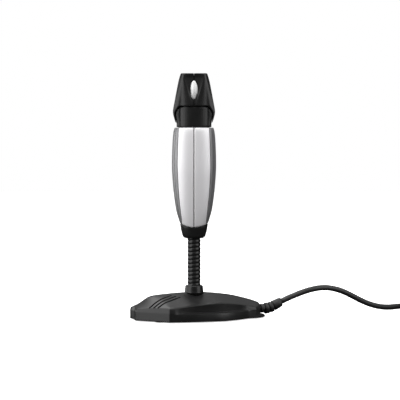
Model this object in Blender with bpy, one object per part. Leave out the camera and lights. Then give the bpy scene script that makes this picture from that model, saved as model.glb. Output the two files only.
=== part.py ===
"""Desktop microphone on a gooseneck, with a weighted base, its cable and its plug.

Metres, +Z up.  -X is the front, +X the rear where the cable leaves, and the object
stands on the plane Z = 0 with the middle of its base at the origin.
"""
import math

import bmesh
import bpy
from mathutils import Matrix, Vector

MM = 0.001
GAP = 0.3 * MM                     # clearance between neighbouring pieces

# The base, measured from the foot of the neck
STEM_X = -4.1 * MM                 # the neck stands a little ahead of the base's middle
PLAN = (                           # half of the outline, from the nose to the tail
    (-44.3, 0.0), (-45.6, 5.0), (-45.5, 8.6), (-43.4, 10.8),
    (-34.8, 20.0), (-26.2, 29.3), (-17.0, 30.6), (-8.0, 31.0), (1.0, 31.1),
    (9.0, 30.9), (15.0, 29.8), (21.0, 27.3), (27.0, 23.9), (32.0, 20.4), (36.5, 17.6),
    (42.0, 16.4), (46.0, 14.3), (49.6, 10.6), (52.0, 5.8), (52.8, 0.0),
)
TAIL_X = 42.0 * MM                 # behind this the wall leans in over the rear lip
TAIL_LONG = 8.0 * MM
TAIL_LEAN = 3.4 * MM
RIDGE = ((-45.0, 9.4), (-40.4, 12.3), (-33.5, 16.9), (-24.7, 18.3), (-8.0, 19.4), (8.0, 19.2),
         (24.7, 17.4), (36.0, 15.0), (45.0, 12.3), (53.0, 9.3))
WALL = ((-45.0, 9.4), (-26.0, 10.6), (-17.0, 10.9), (-4.0, 12.4), (11.0, 13.4), (24.0, 11.8),
        (34.0, 9.9), (42.0, 9.0), (53.0, 7.6))
SPINE_SHARE = 0.55                 # insets run towards this share of a point's distance along the ridge
RIDGE_ROUND = 0.12                 # share of the half width over which the ridge is rounded
SHELL_THICK = 1.8 * MM
SHELL_FOOT_Z = 0.8 * MM            # lower edge of the top shell
LIP_Z = 2.2 * MM
STEP_Z = 2.6 * MM                  # the tail's wall stands back from the lip above this
LEDGE_Z = 6.6 * MM
BEVEL = 1.7 * MM                   # band between the wall and the top
SCOOP_FROM = -22.0 * MM
SCOOP_TO = 37.0 * MM
SCOOP_DEEP = 3.6 * MM
SEAT_LONG = 7.4 * MM               # half lengths of the opening round the ferrule
SEAT_WIDE = 7.2 * MM
TOP_ROWS = (0.16, 0.36, 0.58, 0.8)
SLOT_COUNT = 3
SLOT_MIDDLE = (-27.9 * MM, 10.9 * MM)
SLOT_STEP = (2.5 * MM, 2.6 * MM)
SLOT_ANGLE = math.radians(28.5)
SLOT_LONG = 22.2 * MM
SLOT_WIDE = 1.5 * MM
SLOT_TALL = 14.0 * MM
GROOVE_FROM = 15.0 * MM
GROOVE_TO = 41.0 * MM
GROOVE_WIDE = 1.6 * MM
GROOVE_DEEP = 0.8 * MM

PLATE_LOW = 1.2 * MM
PLATE_HIGH = 2.8 * MM
FOOT_RADIUS = 4.0 * MM
FOOT_HIGH = 0.9 * MM
FOOT_PLACES = ((-29.0, 15.0), (-29.0, -15.0), (31.0, 10.5), (31.0, -10.5))
SCREW_PLACES = ((-19.0, 22.0), (-19.0, -22.0), (18.4, 17.6), (18.4, -17.6))
SCREW_RADIUS = 1.2 * MM
SCREW_HEAD = 2.4 * MM
SCREW_TOP = 7.4 * MM
BOSS_RADIUS = 2.6 * MM
BOSS_BORE = 1.5 * MM
WEIGHT_LONG = 27.0 * MM            # half lengths of the steel weight
WEIGHT_WIDE = 14.5 * MM
WEIGHT_LOW = 3.2 * MM
WEIGHT_HIGH = 9.5 * MM
NUT_RADIUS = 5.0 * MM
NUT_LOW = 3.5 * MM
NUT_HIGH = 5.9 * MM
STUD_RADIUS = 3.0 * MM
WIRE_BORE = 1.6 * MM

# The ferrule and the gooseneck
FERRULE_RIM_Z = 18.7 * MM
FERRULE_TOP_Z = 23.4 * MM
NECK_LOW = 23.8 * MM               # height of the first bend
NECK_HIGH = 58.0 * MM              # height of the last bend
TURNS = 12
PITCH = (NECK_HIGH - NECK_LOW) / TURNS
TURN_RADIUS = 4.6 * MM
TURN_PROFILE = ((1.6, 1.15), (2.3, 1.15), (4.25, 0.98), (4.6, 0.62))   # radius, half height
SOCKET_RADIUS = 4.0 * MM

# The microphone, measured in its own frame: u to the rear, v to the side
MIC_TURN = math.radians(-16.0)     # the microphone is twisted this far on its neck
BOOT_LOW = 58.4 * MM
BODY_LOW = 66.6 * MM               # lower edge of the side panels at their middle
BODY_BOW = 2.2 * MM                # how much higher that edge is at the panels' sides
BODY_TOP = 137.9 * MM
BODY_WIDE = ((58.0, 7.2), (60.0, 8.2), (67.0, 10.3), (74.2, 12.1), (85.0, 13.9), (95.0, 15.0),
             (106.0, 15.8), (114.0, 15.9), (122.0, 15.7), (130.0, 15.3), (135.4, 14.7), (138.0, 13.9))
BODY_EDGE = ((60.0, 8.0), (70.0, 8.8), (85.0, 10.3), (98.0, 11.3), (112.0, 11.8), (138.0, 11.0))
BODY_FLAT = 0.8                    # depth of a section as a share of its width
BODY_POWER = 2.6                   # squareness of a section
BODY_WALL = 2.5 * MM
PANEL_SINK = 1.2 * MM              # depth of the recess that an inlay panel fills
COLLAR_LOW = 138.2 * MM
COLLAR_HIGH = 153.0 * MM
SPIGOT_LOW = 132.0 * MM            # the collar reaches this far down into the body
SPIGOT_HIGH = 156.5 * MM           # and this far up into the head
COLLAR_LONG = 12.2 * MM
COLLAR_DEEP = 9.9 * MM
COLLAR_PAD = 9.7 * MM              # half width of the flat pad on each side
HEAD_EDGE = 153.4 * MM             # lower edge of the head at its sides
CHEEK_LOW = 141.5 * MM             # lower edge of the head at front and rear
HEAD_TOP = 176.8 * MM
HEAD_WIDE = ((141.5, 13.2), (145.3, 14.4), (149.0, 15.1), (152.0, 14.8), (157.0, 13.85),
             (164.2, 12.5), (171.4, 11.05), (176.8, 9.5))
HEAD_DEEP = ((141.5, 11.3), (153.0, 11.5), (165.0, 9.9), (176.8, 8.2))
HEAD_FACE = ((141.5, 9.7), (153.4, 9.7), (176.8, 7.7))       # half width of a side face
HEAD_WALL = 1.7 * MM
NOTCH_WIDE = 0.9 * MM              # half width of the notch along the top seam
NOTCH_DEEP = 0.9 * MM
CHANNEL_DEEP = 0.9 * MM            # depth of the channel on a side face
CHANNEL_FADE = 4.0 * MM            # the channel runs out over this height below the top
INSERT_Z = 164.9 * MM
INSERT_TALL = 6.65 * MM            # half height of an oval insert
INSERT_LONG = 2.35 * MM
GRILLE_Z = 163.5 * MM
GRILLE_TALL = 7.0 * MM
GRILLE_WIDE = 4.6 * MM
GRILLE_THICK = 1.4 * MM
GRILLE_SLOTS = 5
FACE_SLOPE = math.radians(10.1)    # lean of the head's front face
CAPSULE_RADIUS = 4.85 * MM
CAPSULE_LONG = 6.0 * MM
CAPSULE_Z = 163.0 * MM

# The cable
CABLE = 4.2 * MM                   # diameter
CABLE_SIDES = 2                    # bevel resolution of the tube
COIL_X = 206.0 * MM                # centre of the coil, from the neck
COIL_LIFT = 0.8 * MM               # the coil lies on its tie
COIL_MEAN = 25.2 * MM              # radius at the middle of its turns
COIL_WIDE = 4 * CABLE
COIL_HIGH = 3 * CABLE
RELIEF_NECK = 1.9 * MM             # radius of the strain relief where it passes the shell
RELIEF_PATH = ((44.0, 6.1), (47.3, 6.1), (51.0, 6.2), (54.0, 6.1), (56.5, 6.4), (59.5, 7.4), (62.5, 8.9),
               (66.6, 10.85))
RELIEF_RADII = (                   # along the path: flange, neck, then ribs that grow smaller outwards
    (44.0, 2.8), (46.2, 2.8), (46.3, 1.9), (50.1, 1.9), (50.2, 3.0), (50.7, 3.3), (52.5, 3.3),
    (52.8, 2.8), (53.2, 2.8), (53.6, 3.95), (56.1, 4.05), (56.4, 3.3), (56.8, 3.3), (57.2, 3.95),
    (59.3, 3.85), (59.6, 3.1), (60.0, 3.1), (60.4, 3.75), (64.4, 3.5), (66.4, 2.8),
)
CABLE_ROUTE = (
    (66.95, 0.0, 11.0), (71.0, 0.0, 12.8), (77.0, 0.0, 15.1), (84.0, 0.0, 17.5), (91.0, 0.0, 19.2),
    (99.0, 0.4, 20.0), (107.0, 1.1, 19.1), (115.0, 2.2, 16.7), (123.0, 3.5, 13.1), (131.0, 5.2, 9.2),
    (139.0, 7.2, 6.0), (147.0, 9.6, 3.9), (155.0, 12.2, 2.9), (163.0, 15.2, 2.9), (170.0, 18.1, 2.9),
    (177.4, 21.35, 2.9),
)
TIE_WIDE = 4.0 * MM
TIE_THICK = 0.45 * MM
PLUG_BACK = 4.0 * MM               # the plug starts this far before the coil's centre
PLUG_RADIUS = 3.9 * MM
PLUG_LONG = 17.0 * MM
JACK_RADIUS = 1.75 * MM
SLEEVE_LONG = 10.3 * MM
TIP_LONG = 3.4 * MM


def blend_through(points, x):
    """A smooth curve through (x, value) pairs in millimetres; x and the answer are in metres."""
    at = x / MM
    if at <= points[0][0]:
        return points[0][1] * MM
    if at >= points[-1][0]:
        return points[-1][1] * MM
    slopes = [
        (points[min(i + 1, len(points) - 1)][1] - points[max(i - 1, 0)][1])
        / (points[min(i + 1, len(points) - 1)][0] - points[max(i - 1, 0)][0])
        for i in range(len(points))
    ]
    i = max(k for k in range(len(points) - 1) if points[k][0] <= at)
    (x0, y0), (x1, y1) = points[i], points[i + 1]
    span = x1 - x0
    t = (at - x0) / span
    value = (
        y0 * (2 * t ** 3 - 3 * t ** 2 + 1)
        + slopes[i] * span * (t ** 3 - 2 * t ** 2 + t)
        + y1 * (3 * t ** 2 - 2 * t ** 3)
        + slopes[i + 1] * span * (t ** 3 - t ** 2)
    )
    return value * MM


def clear_scene():
    for old in list(bpy.data.objects):
        bpy.data.objects.remove(old, do_unlink=True)


def material(name, colour, roughness, metallic=0.0):
    made = bpy.data.materials.new(name)
    made.use_nodes = True
    shader = made.node_tree.nodes["Principled BSDF"]
    shader.inputs["Base Color"].default_value = (*colour, 1.0)
    shader.inputs["Roughness"].default_value = roughness
    shader.inputs["Metallic"].default_value = metallic
    return made


def finish_mesh(name, shape, finish, parent=None, place=(0.0, 0.0, 0.0), sharp=30.0):
    """Turn a bmesh into a named object with outward faces and smooth round sides."""
    bmesh.ops.remove_doubles(shape, verts=shape.verts, dist=1e-6)
    bmesh.ops.dissolve_degenerate(shape, edges=shape.edges, dist=1e-7)
    bmesh.ops.recalc_face_normals(shape, faces=shape.faces)
    if shape.calc_volume(signed=True) < 0:
        bmesh.ops.reverse_faces(shape, faces=shape.faces)
    mesh = bpy.data.meshes.new(name)
    shape.to_mesh(mesh)
    shape.free()
    mesh.shade_smooth()
    mesh.set_sharp_from_angle(angle=math.radians(sharp))
    mesh.materials.append(finish)
    made = bpy.data.objects.new(name, mesh)
    bpy.context.scene.collection.objects.link(made)
    made.parent = parent
    made.location = place
    return made


def add_faces(shape, points, faces):
    corners = [shape.verts.new(point) for point in points]
    for face in faces:
        shape.faces.new([corners[k] for k in face])


def slab(outer, inner, around):
    """A closed wall between two grids of points; around joins the last column to the first."""
    shape = bmesh.new()
    rows = len(outer)
    columns = len(outer[0])
    steps = columns if around else columns - 1
    points = [point for grid in (outer, inner) for row in grid for point in row]

    def at(side, row, column):
        return (side * rows + row) * columns + column % columns

    faces = []
    for row in range(rows - 1):
        for column in range(steps):
            for side in (0, 1):
                faces.append((at(side, row, column), at(side, row, column + 1),
                              at(side, row + 1, column + 1), at(side, row + 1, column)))
    for row in (0, rows - 1):
        for column in range(steps):
            faces.append((at(0, row, column), at(0, row, column + 1),
                          at(1, row, column + 1), at(1, row, column)))
    if not around:
        for column in (0, columns - 1):
            for row in range(rows - 1):
                faces.append((at(0, row, column), at(0, row + 1, column),
                              at(1, row + 1, column), at(1, row, column)))
    add_faces(shape, points, faces)
    return shape


def rings_solid(rings, hollow=False):
    """Skin successive rings; the ends are capped, or joined to each other when hollow."""
    shape = bmesh.new()
    count = len(rings[0])
    points = [point for ring in rings for point in ring]
    last = len(rings) if hollow else len(rings) - 1
    faces = []
    for row in range(last):
        above = (row + 1) % len(rings)
        for k in range(count):
            after = (k + 1) % count
            faces.append((row * count + k, row * count + after, above * count + after, above * count + k))
    if not hollow:
        faces.append(tuple(range(count)))
        faces.append(tuple(range((len(rings) - 1) * count, len(rings) * count)))
    add_faces(shape, points, faces)
    return shape


def circle(radius, z, count, centre=(0.0, 0.0)):
    return [
        (centre[0] + radius * math.cos(2 * math.pi * k / count),
         centre[1] + radius * math.sin(2 * math.pi * k / count), z)
        for k in range(count)
    ]


def turned(profile, count, hollow=False, centre=(0.0, 0.0)):
    """Turn (radius, z) pairs about a vertical axis."""
    return rings_solid([circle(radius, z, count, centre) for radius, z in profile], hollow)


def box(low, high):
    shape = bmesh.new()
    bmesh.ops.create_cube(shape, size=1.0)
    size = [b - a for a, b in zip(low, high)]
    middle = [(a + b) / 2 for a, b in zip(low, high)]
    bmesh.ops.scale(shape, vec=size, verts=shape.verts)
    bmesh.ops.translate(shape, vec=middle, verts=shape.verts)
    return shape


def cutter(name, shape, parent=None, matrix=None):
    """A guide solid that only a Boolean reads."""
    made = finish_mesh(name, shape, BLACK_SATIN, parent)
    if matrix:
        made.matrix_local = matrix
    made.hide_render = True
    made.display_type = "WIRE"
    return made


def cut(target, tool, operation="DIFFERENCE"):
    made = target.modifiers.new(tool.name, "BOOLEAN")
    made.operation = operation
    made.object = tool
    made.solver = "EXACT"


# ---------------------------------------------------------------- the base


def half_width(x):
    """Half the width of the base's outline at a distance from the neck."""
    for (x0, y0), (x1, y1) in zip(PLAN[1:], PLAN[2:]):
        if x0 * MM <= x <= x1 * MM:
            return (y0 + (y1 - y0) * (x / MM - x0) / (x1 - x0)) * MM
    return PLAN[1][1] * MM if x < 0 else 0.5 * MM


def top_height(x, y):
    """Height of the base's tent-like top."""
    share = min(1.0, abs(y) / max(half_width(x), 4.0 * MM))
    fall = math.hypot(share, RIDGE_ROUND) - RIDGE_ROUND
    fall /= math.hypot(1.0, RIDGE_ROUND) - RIDGE_ROUND
    ridge = blend_through(RIDGE, x)
    wall = blend_through(WALL, x)
    return wall + (ridge - wall) * (1 - fall)


def scoop(x):
    """How far the hollow in the side is sunk, from 0 to 1."""
    if not SCOOP_FROM < x < SCOOP_TO:
        return 0.0
    share = (x - SCOOP_FROM) / (SCOOP_TO - SCOOP_FROM)
    return math.sin(math.pi * share) ** 0.6


def outline():
    """The whole outline of the base, as points with their directions in towards its spine."""
    half = [Vector((x * MM, y * MM, 0.0)) for x, y in PLAN]
    whole = half + [Vector((p.x, -p.y, 0.0)) for p in reversed(half[1:-1])]
    inward = [(Vector((SPINE_SHARE * p.x, 0.0, 0.0)) - p).normalized() for p in whole]
    return whole, inward


def tail_share(x):
    """How far a point belongs to the tail, from 0 to 1."""
    return min(1.0, max(0.0, (x - TAIL_X) / TAIL_LONG))


def base_column(point, inward):
    """Outer and inner points of the shell, from its lower edge in to the neck's opening."""
    sunk = SCOOP_DEEP * scoop(point.x)
    tail = tail_share(point.x)
    lean = TAIL_LEAN * tail
    angle = math.atan2(point.y, point.x)
    seat = Vector((SEAT_LONG * math.cos(angle), SEAT_WIDE * math.sin(angle), 0.0))
    ledge_in = point + inward * (sunk + lean)
    arch = point + inward * (0.55 * sunk + lean + 0.5 * MM)
    edge = arch + inward * BEVEL
    edge_z = top_height(edge.x, edge.y)
    arch_z = edge_z - 0.9 * MM
    outer = [
        point + Vector((0, 0, SHELL_FOOT_Z)),
        point + Vector((0, 0, LIP_Z)),
        point + inward * 0.95 * lean + Vector((0, 0, LEDGE_Z + (STEP_Z - LEDGE_Z) * tail)),
        ledge_in + Vector((0, 0, LEDGE_Z + 0.5 * MM)),
        arch + Vector((0, 0, arch_z)),
        edge + Vector((0, 0, edge_z)),
    ]
    inner = [
        point + inward * (SHELL_THICK + lean) + Vector((0, 0, SHELL_FOOT_Z)),
        point + inward * (SHELL_THICK + lean) + Vector((0, 0, PLATE_HIGH + GAP)),
        point + inward * (SHELL_THICK + lean) + Vector((0, 0, LEDGE_Z - SHELL_THICK)),
        ledge_in + inward * SHELL_THICK + Vector((0, 0, LEDGE_Z - SHELL_THICK + 0.4 * MM)),
        arch + inward * SHELL_THICK + Vector((0, 0, arch_z - 1.2 * MM)),
        edge + inward * SHELL_THICK + Vector((0, 0, edge_z - SHELL_THICK)),
    ]
    for share in TOP_ROWS + (1.0,):
        place = edge.lerp(seat, share)
        height = top_height(place.x, place.y)
        outer.append(place + Vector((0, 0, height)))
        inside = (edge + inward * SHELL_THICK).lerp(seat, share)
        inner.append(inside + Vector((0, 0, height - SHELL_THICK)))
    return outer, inner


def make_base_top(stem):
    whole, inward = outline()
    columns = [base_column(p, n) for p, n in zip(whole, inward)]
    outer = [list(row) for row in zip(*(c[0] for c in columns))]
    inner = [list(row) for row in zip(*(c[1] for c in columns))]
    shell = finish_mesh("base_top_shell", slab(outer, inner, True), BLACK_SATIN, stem, sharp=24.0)
    for k, (x, y) in enumerate(SCREW_PLACES):
        ceiling = top_height(x * MM, y * MM) - 0.6 * SHELL_THICK
        profile = [(BOSS_RADIUS, PLATE_HIGH + GAP), (BOSS_RADIUS, ceiling), (BOSS_BORE, ceiling),
                   (BOSS_BORE, PLATE_HIGH + GAP)]
        boss = turned(profile, 12, True, (x * MM, y * MM))
        cut(shell, cutter(f"boss_guide_{k}", boss, stem), "UNION")
    for side in (-1, 1):
        for k in range(SLOT_COUNT):
            cut(shell, cutter(f"slot_guide_{side}_{k}", slot_solid(side, k), stem))
    cut(shell, cutter("groove_guide", groove_solid(), stem))
    hole = turned([(RELIEF_NECK + GAP, 0.0), (RELIEF_NECK + GAP, 12 * MM)], 12)
    turn = Matrix.Translation((46.0 * MM, 0, RELIEF_PATH[0][1] * MM)) @ Matrix.Rotation(math.pi / 2, 4, "Y")
    cut(shell, cutter("cable_hole_guide", hole, stem, turn))


def slot_solid(side, k):
    """One slanting vent slot, as a tall thin box through the top."""
    along = SLOT_MIDDLE[0] + k * SLOT_STEP[0]
    across = side * (SLOT_MIDDLE[1] + k * SLOT_STEP[1])
    middle = Vector((along, across, SLOT_TALL))
    half = Vector((SLOT_LONG, SLOT_WIDE, SLOT_TALL)) / 2
    shape = box(-half, half)
    turn = Matrix.Rotation(-side * SLOT_ANGLE, 3, "Z")
    bmesh.ops.rotate(shape, cent=(0, 0, 0), matrix=turn, verts=shape.verts)
    bmesh.ops.translate(shape, vec=middle, verts=shape.verts)
    return shape


def groove_solid():
    """The shallow groove along the ridge behind the neck."""
    rings = []
    for k in range(5):
        x = GROOVE_FROM + (GROOVE_TO - GROOVE_FROM) * k / 4
        low = top_height(x, 0.0) - GROOVE_DEEP
        wide = GROOVE_WIDE / 2
        rings.append([(x, -wide, low), (x, wide, low), (x, wide, low + 4 * MM), (x, -wide, low + 4 * MM)])
    return rings_solid(rings)


def make_base_plate(stem):
    whole, inward = outline()
    rim = [p + n * (SHELL_THICK + GAP + TAIL_LEAN * tail_share(p.x)) for p, n in zip(whole, inward)]
    rings = [[p + Vector((0, 0, z)) for p in rim] for z in (PLATE_LOW, PLATE_HIGH)]
    plate = finish_mesh("base_bottom_plate", rings_solid(rings), BLACK_MATT, stem)
    for k, (x, y) in enumerate(SCREW_PLACES):
        hole = turned([(BOSS_BORE, 0.0), (BOSS_BORE, 2 * PLATE_HIGH)], 10, False, (x * MM, y * MM))
        cut(plate, cutter(f"plate_hole_{k}", hole, stem))


def make_base_fittings(stem):
    for k, (x, y) in enumerate(FOOT_PLACES):
        profile = [(FOOT_RADIUS - 0.4 * MM, 0.0), (FOOT_RADIUS, 0.4 * MM), (FOOT_RADIUS, FOOT_HIGH)]
        foot = turned(profile, 20, False, (x * MM, y * MM))
        finish_mesh(f"rubber_foot_{k + 1}", foot, RUBBER, stem)
    for k, (x, y) in enumerate(SCREW_PLACES):
        profile = [(SCREW_HEAD, 0.3 * MM), (SCREW_HEAD, 0.9 * MM), (SCREW_RADIUS, 0.9 * MM),
                   (SCREW_RADIUS, SCREW_TOP)]
        screw = turned(profile, 12, False, (x * MM, y * MM))
        finish_mesh(f"base_screw_{k + 1}", screw, STEEL, stem)


def make_weight(stem):
    def ring(scale, z):
        return [(p[0] * scale, p[1] * scale * WEIGHT_WIDE / WEIGHT_LONG, z)
                for p in circle(WEIGHT_LONG, z, 32)]

    def bore(radius, z):
        return circle(radius, z, 32)

    rings = [
        ring(1.0, WEIGHT_LOW), ring(1.0, WEIGHT_HIGH - 1.0 * MM), ring(0.96, WEIGHT_HIGH),
        bore(STUD_RADIUS + GAP, WEIGHT_HIGH), bore(STUD_RADIUS + GAP, NUT_HIGH + GAP),
        bore(NUT_RADIUS + 2 * GAP, NUT_HIGH + GAP), bore(NUT_RADIUS + 2 * GAP, WEIGHT_LOW),
    ]
    finish_mesh("base_weight", rings_solid(rings, True), STEEL, stem)


def make_ferrule(stem):
    profile = [
        (WIRE_BORE, NUT_LOW), (STUD_RADIUS, NUT_LOW), (STUD_RADIUS, WEIGHT_HIGH + GAP),
        (4.4 * MM, WEIGHT_HIGH + GAP), (4.4 * MM, 15.2 * MM), (4.9 * MM, 15.6 * MM),
        (6.7 * MM, FERRULE_RIM_Z - 0.3 * MM), (6.9 * MM, FERRULE_RIM_Z),
        (6.8 * MM, FERRULE_RIM_Z + 0.3 * MM), (6.4 * MM, FERRULE_TOP_Z - 0.4 * MM),
        (6.1 * MM, FERRULE_TOP_Z), (WIRE_BORE, FERRULE_TOP_Z),
    ]
    finish_mesh("neck_ferrule", turned(profile, 24, True), BLACK_SATIN, stem)


def make_nut(stem):
    """A hexagon with a round bore, so every ring has a multiple of six points."""
    def hexagon(z):
        points = []
        for k in range(24):
            angle = 2 * math.pi * k / 24
            corner = math.pi / 6 - (angle % (math.pi / 3))
            flat = NUT_RADIUS * math.cos(math.pi / 6) / math.cos(corner)
            points.append((flat * math.cos(angle), flat * math.sin(angle), z))
        return points

    bore = STUD_RADIUS + 0.1 * MM
    rings = [hexagon(NUT_LOW), hexagon(NUT_HIGH), circle(bore, NUT_HIGH, 24), circle(bore, NUT_LOW, 24)]
    finish_mesh("neck_nut", rings_solid(rings, True), STEEL, stem)


def make_neck(stem):
    """The turns of the gooseneck, each with its origin on the bend below it."""
    for k in range(TURNS):
        hinge = NECK_LOW + k * PITCH
        profile = [(r * MM, PITCH / 2 - half * MM) for r, half in TURN_PROFILE]
        profile += [(r * MM, PITCH / 2 + half * MM) for r, half in reversed(TURN_PROFILE)]
        finish_mesh(f"gooseneck_turn_{k + 1:02d}", turned(profile, 16, True), BLACK_SATIN, stem,
                    (0.0, 0.0, hinge))


# ---------------------------------------------------------------- the microphone


def power(value, exponent):
    return math.copysign(abs(value) ** exponent, value)


def body_point(angle, z, inset, end):
    """A point on the body's rounded section; end is -1 at the front and 1 at the rear."""
    long = blend_through(BODY_WIDE, z) - inset
    deep = BODY_FLAT * blend_through(BODY_WIDE, z) + 0.4 * MM - inset
    return Vector((end * long * power(math.cos(angle), 2 / BODY_POWER),
                   deep * power(math.sin(angle), 2 / BODY_POWER), z))


def edge_angle(z):
    """Where a side panel meets an inlay panel, as an angle on the section."""
    share = blend_through(BODY_EDGE, z) / blend_through(BODY_WIDE, z)
    return math.acos(min(0.95, share) ** (BODY_POWER / 2))


def bowed(z, u):
    """Raise the lower edges so that they curve up towards front and rear."""
    fade = max(0.0, 1 - (z - BODY_LOW) / (12 * MM))
    return z + fade * BODY_BOW * min(1.6, (u / (9.2 * MM)) ** 2)


def body_heights(count):
    return [BODY_LOW + (BODY_TOP - BODY_LOW) * k / count for k in range(count + 1)]


def make_half_shell(name, end, mic):
    """Half of the body, from seam to seam round one end, with a recess for its inlay."""
    outer = []
    inner = []
    for z in body_heights(12):
        edge = edge_angle(z)
        quarter = math.pi / 2
        outer_row = []
        inner_row = []
        steps = [(quarter + (edge - quarter) * k / 5, 0.0) for k in range(6)]
        steps += [(edge - 2 * edge * k / 6, PANEL_SINK) for k in range(7)]
        steps += [(-edge - (quarter - edge) * k / 5, 0.0) for k in range(6)]
        for angle, inset in steps:
            a = body_point(angle, z, inset, end)
            b = body_point(angle, z, BODY_WALL, end)
            a.x = end * max(abs(a.x), GAP / 2)
            b.x = end * max(abs(b.x), GAP / 2)
            a.z = bowed(z, body_point(angle, z, 0.0, end).x)
            b.z = a.z
            outer_row.append(a)
            inner_row.append(b)
        outer.append(outer_row)
        inner.append(inner_row)
    finish_mesh(name, slab(outer, inner, False), SILVER, mic, sharp=35.0)


def make_inlay(name, end, mic):
    outer = []
    inner = []
    for z in body_heights(12):
        slack = GAP / blend_through(BODY_WIDE, z)
        edge = edge_angle(z) - 1.3 * slack
        outer_row = []
        inner_row = []
        for k in range(9):
            angle = edge - 2 * edge * k / 8
            a = body_point(angle, z, 0.0, end)
            b = body_point(angle, z, PANEL_SINK - GAP, end)
            a.z = bowed(z, a.x)
            b.z = a.z
            outer_row.append(a)
            inner_row.append(b)
        outer.append(outer_row)
        inner.append(inner_row)
    finish_mesh(name, slab(outer, inner, False), GREY, mic, sharp=35.0)


def section_ring(z, inset, count=32, bow=0.0, start=0.0, sense=1):
    """A whole ring of the body's section, from a starting angle; sense -1 runs clockwise."""
    ring = []
    for k in range(count):
        angle = start + sense * 2 * math.pi * k / count
        long = blend_through(BODY_WIDE, z) - inset
        deep = BODY_FLAT * blend_through(BODY_WIDE, z) + 0.4 * MM - inset
        u = long * power(math.cos(angle), 2 / BODY_POWER)
        v = deep * power(math.sin(angle), 2 / BODY_POWER)
        ring.append((u, v, z + bow * min(1.6, (u / (9.2 * MM)) ** 2)))
    return ring


def make_boot(mic):
    low = BOOT_LOW
    bore = SOCKET_RADIUS + GAP
    top = BODY_LOW - GAP
    rings = [
        circle(bore, low, 32), section_ring(low, 1.3 * MM), section_ring(low + 0.4 * MM, 0.5 * MM),
        section_ring(low + 1.2 * MM, 0.1 * MM), section_ring(low + 3.5 * MM, 0.0),
        section_ring(top, 0.0, bow=BODY_BOW), section_ring(top, 2.0 * MM, bow=BODY_BOW),
        section_ring(low + 3.0 * MM, 2.0 * MM), circle(bore, low + 2.4 * MM, 32),
    ]
    finish_mesh("lower_boot", rings_solid(rings, True), BLACK_SATIN, mic, sharp=35.0)


def make_socket(neck_end):
    """The plug at the top of the gooseneck that the microphone turns on."""
    profile = [(WIRE_BORE, 0.55 * MM), (3.4 * MM, 0.55 * MM), (SOCKET_RADIUS, 1.1 * MM),
               (SOCKET_RADIUS, 12.0 * MM), (WIRE_BORE, 12.0 * MM)]
    finish_mesh("neck_socket", turned(profile, 24, True), STEEL, neck_end)


def collar_ring(z, inset=0.0):
    """A collar section: a flat pad at each side with a shallow channel, and a lobe at each end."""
    deep = COLLAR_DEEP - inset
    long = COLLAR_LONG - inset
    lobe = deep - 1.1 * MM
    pad = COLLAR_PAD * long / COLLAR_LONG
    quarter = [
        (0.0, deep - 0.5 * MM), (3.2 * MM, deep - 0.4 * MM), (4.0 * MM, deep),
        (pad - 0.3 * MM, deep - 0.15 * MM),
        (pad, lobe), (long - 0.9 * MM, 0.88 * lobe), (long - 0.3 * MM, 0.68 * lobe), (long, 0.36 * lobe),
    ]
    half = quarter + [(u, -v) for u, v in reversed(quarter)]
    ring = half + [(-u, v) for u, v in reversed(half[1:-1])]
    return [(u, v, z) for u, v in ring]


def make_collar(mic):
    """The collar between body and head, with a spigot down into the body and one up into the head."""
    def spigot(z, inset):
        return section_ring(z, BODY_WALL + inset, 30, 0.0, math.pi / 2, -1)

    rings = [
        spigot(SPIGOT_LOW, GAP), spigot(COLLAR_LOW, GAP), collar_ring(COLLAR_LOW),
        collar_ring(COLLAR_HIGH), collar_ring(COLLAR_HIGH, 2.2 * MM), collar_ring(SPIGOT_HIGH, 2.2 * MM),
        collar_ring(SPIGOT_HIGH, 3.6 * MM), spigot(SPIGOT_LOW, 1.8 * MM),
    ]
    finish_mesh("collar", rings_solid(rings, True), BLACK_SATIN, mic, sharp=35.0)


def head_outline(z, inset, end, sunk=0.0):
    """Half of a head section, from seam to seam: side face with its channel, chamfer, end face."""
    long = blend_through(HEAD_WIDE, z) - inset
    deep = blend_through(HEAD_DEEP, z) - inset
    face = blend_through(HEAD_FACE, z) - 0.6 * inset
    rise = min(1.0, max(0.0, (z - 150.0 * MM) / (HEAD_TOP - 150.0 * MM)))
    channel = 3.2 * MM + (face - 4.2 * MM) * rise
    sunk *= min(1.0, (HEAD_TOP - z) / CHANNEL_FADE)
    end_half = 0.62 * deep
    quarter = [
        (GAP / 2, deep - sunk), (0.55 * channel, deep - 0.75 * sunk), (channel, deep - 0.1 * sunk),
        (face, deep - 0.35 * MM), (0.5 * (face + long), 0.5 * (deep + end_half) + 0.5 * MM),
        (long - 0.3 * MM, end_half), (long, 0.45 * end_half),
    ]
    half = quarter + [(u, -v) for u, v in reversed(quarter)]
    return [Vector((end * u, v, z)) for u, v in half]


def head_wall(z):
    """The head's wall is thinner where it hangs over the collar."""
    above = min(1.0, max(0.0, (z - HEAD_EDGE) / (4 * MM)))
    return HEAD_WALL * (0.58 + 0.42 * above)


def head_low(column, last):
    """Height of the head's lower edge in a column: high at the sides and low at the ends."""
    place = min(column, last - column)
    return (HEAD_EDGE, HEAD_EDGE, HEAD_EDGE, HEAD_EDGE, 148.0 * MM, 143.4 * MM, CHEEK_LOW)[place]


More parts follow.
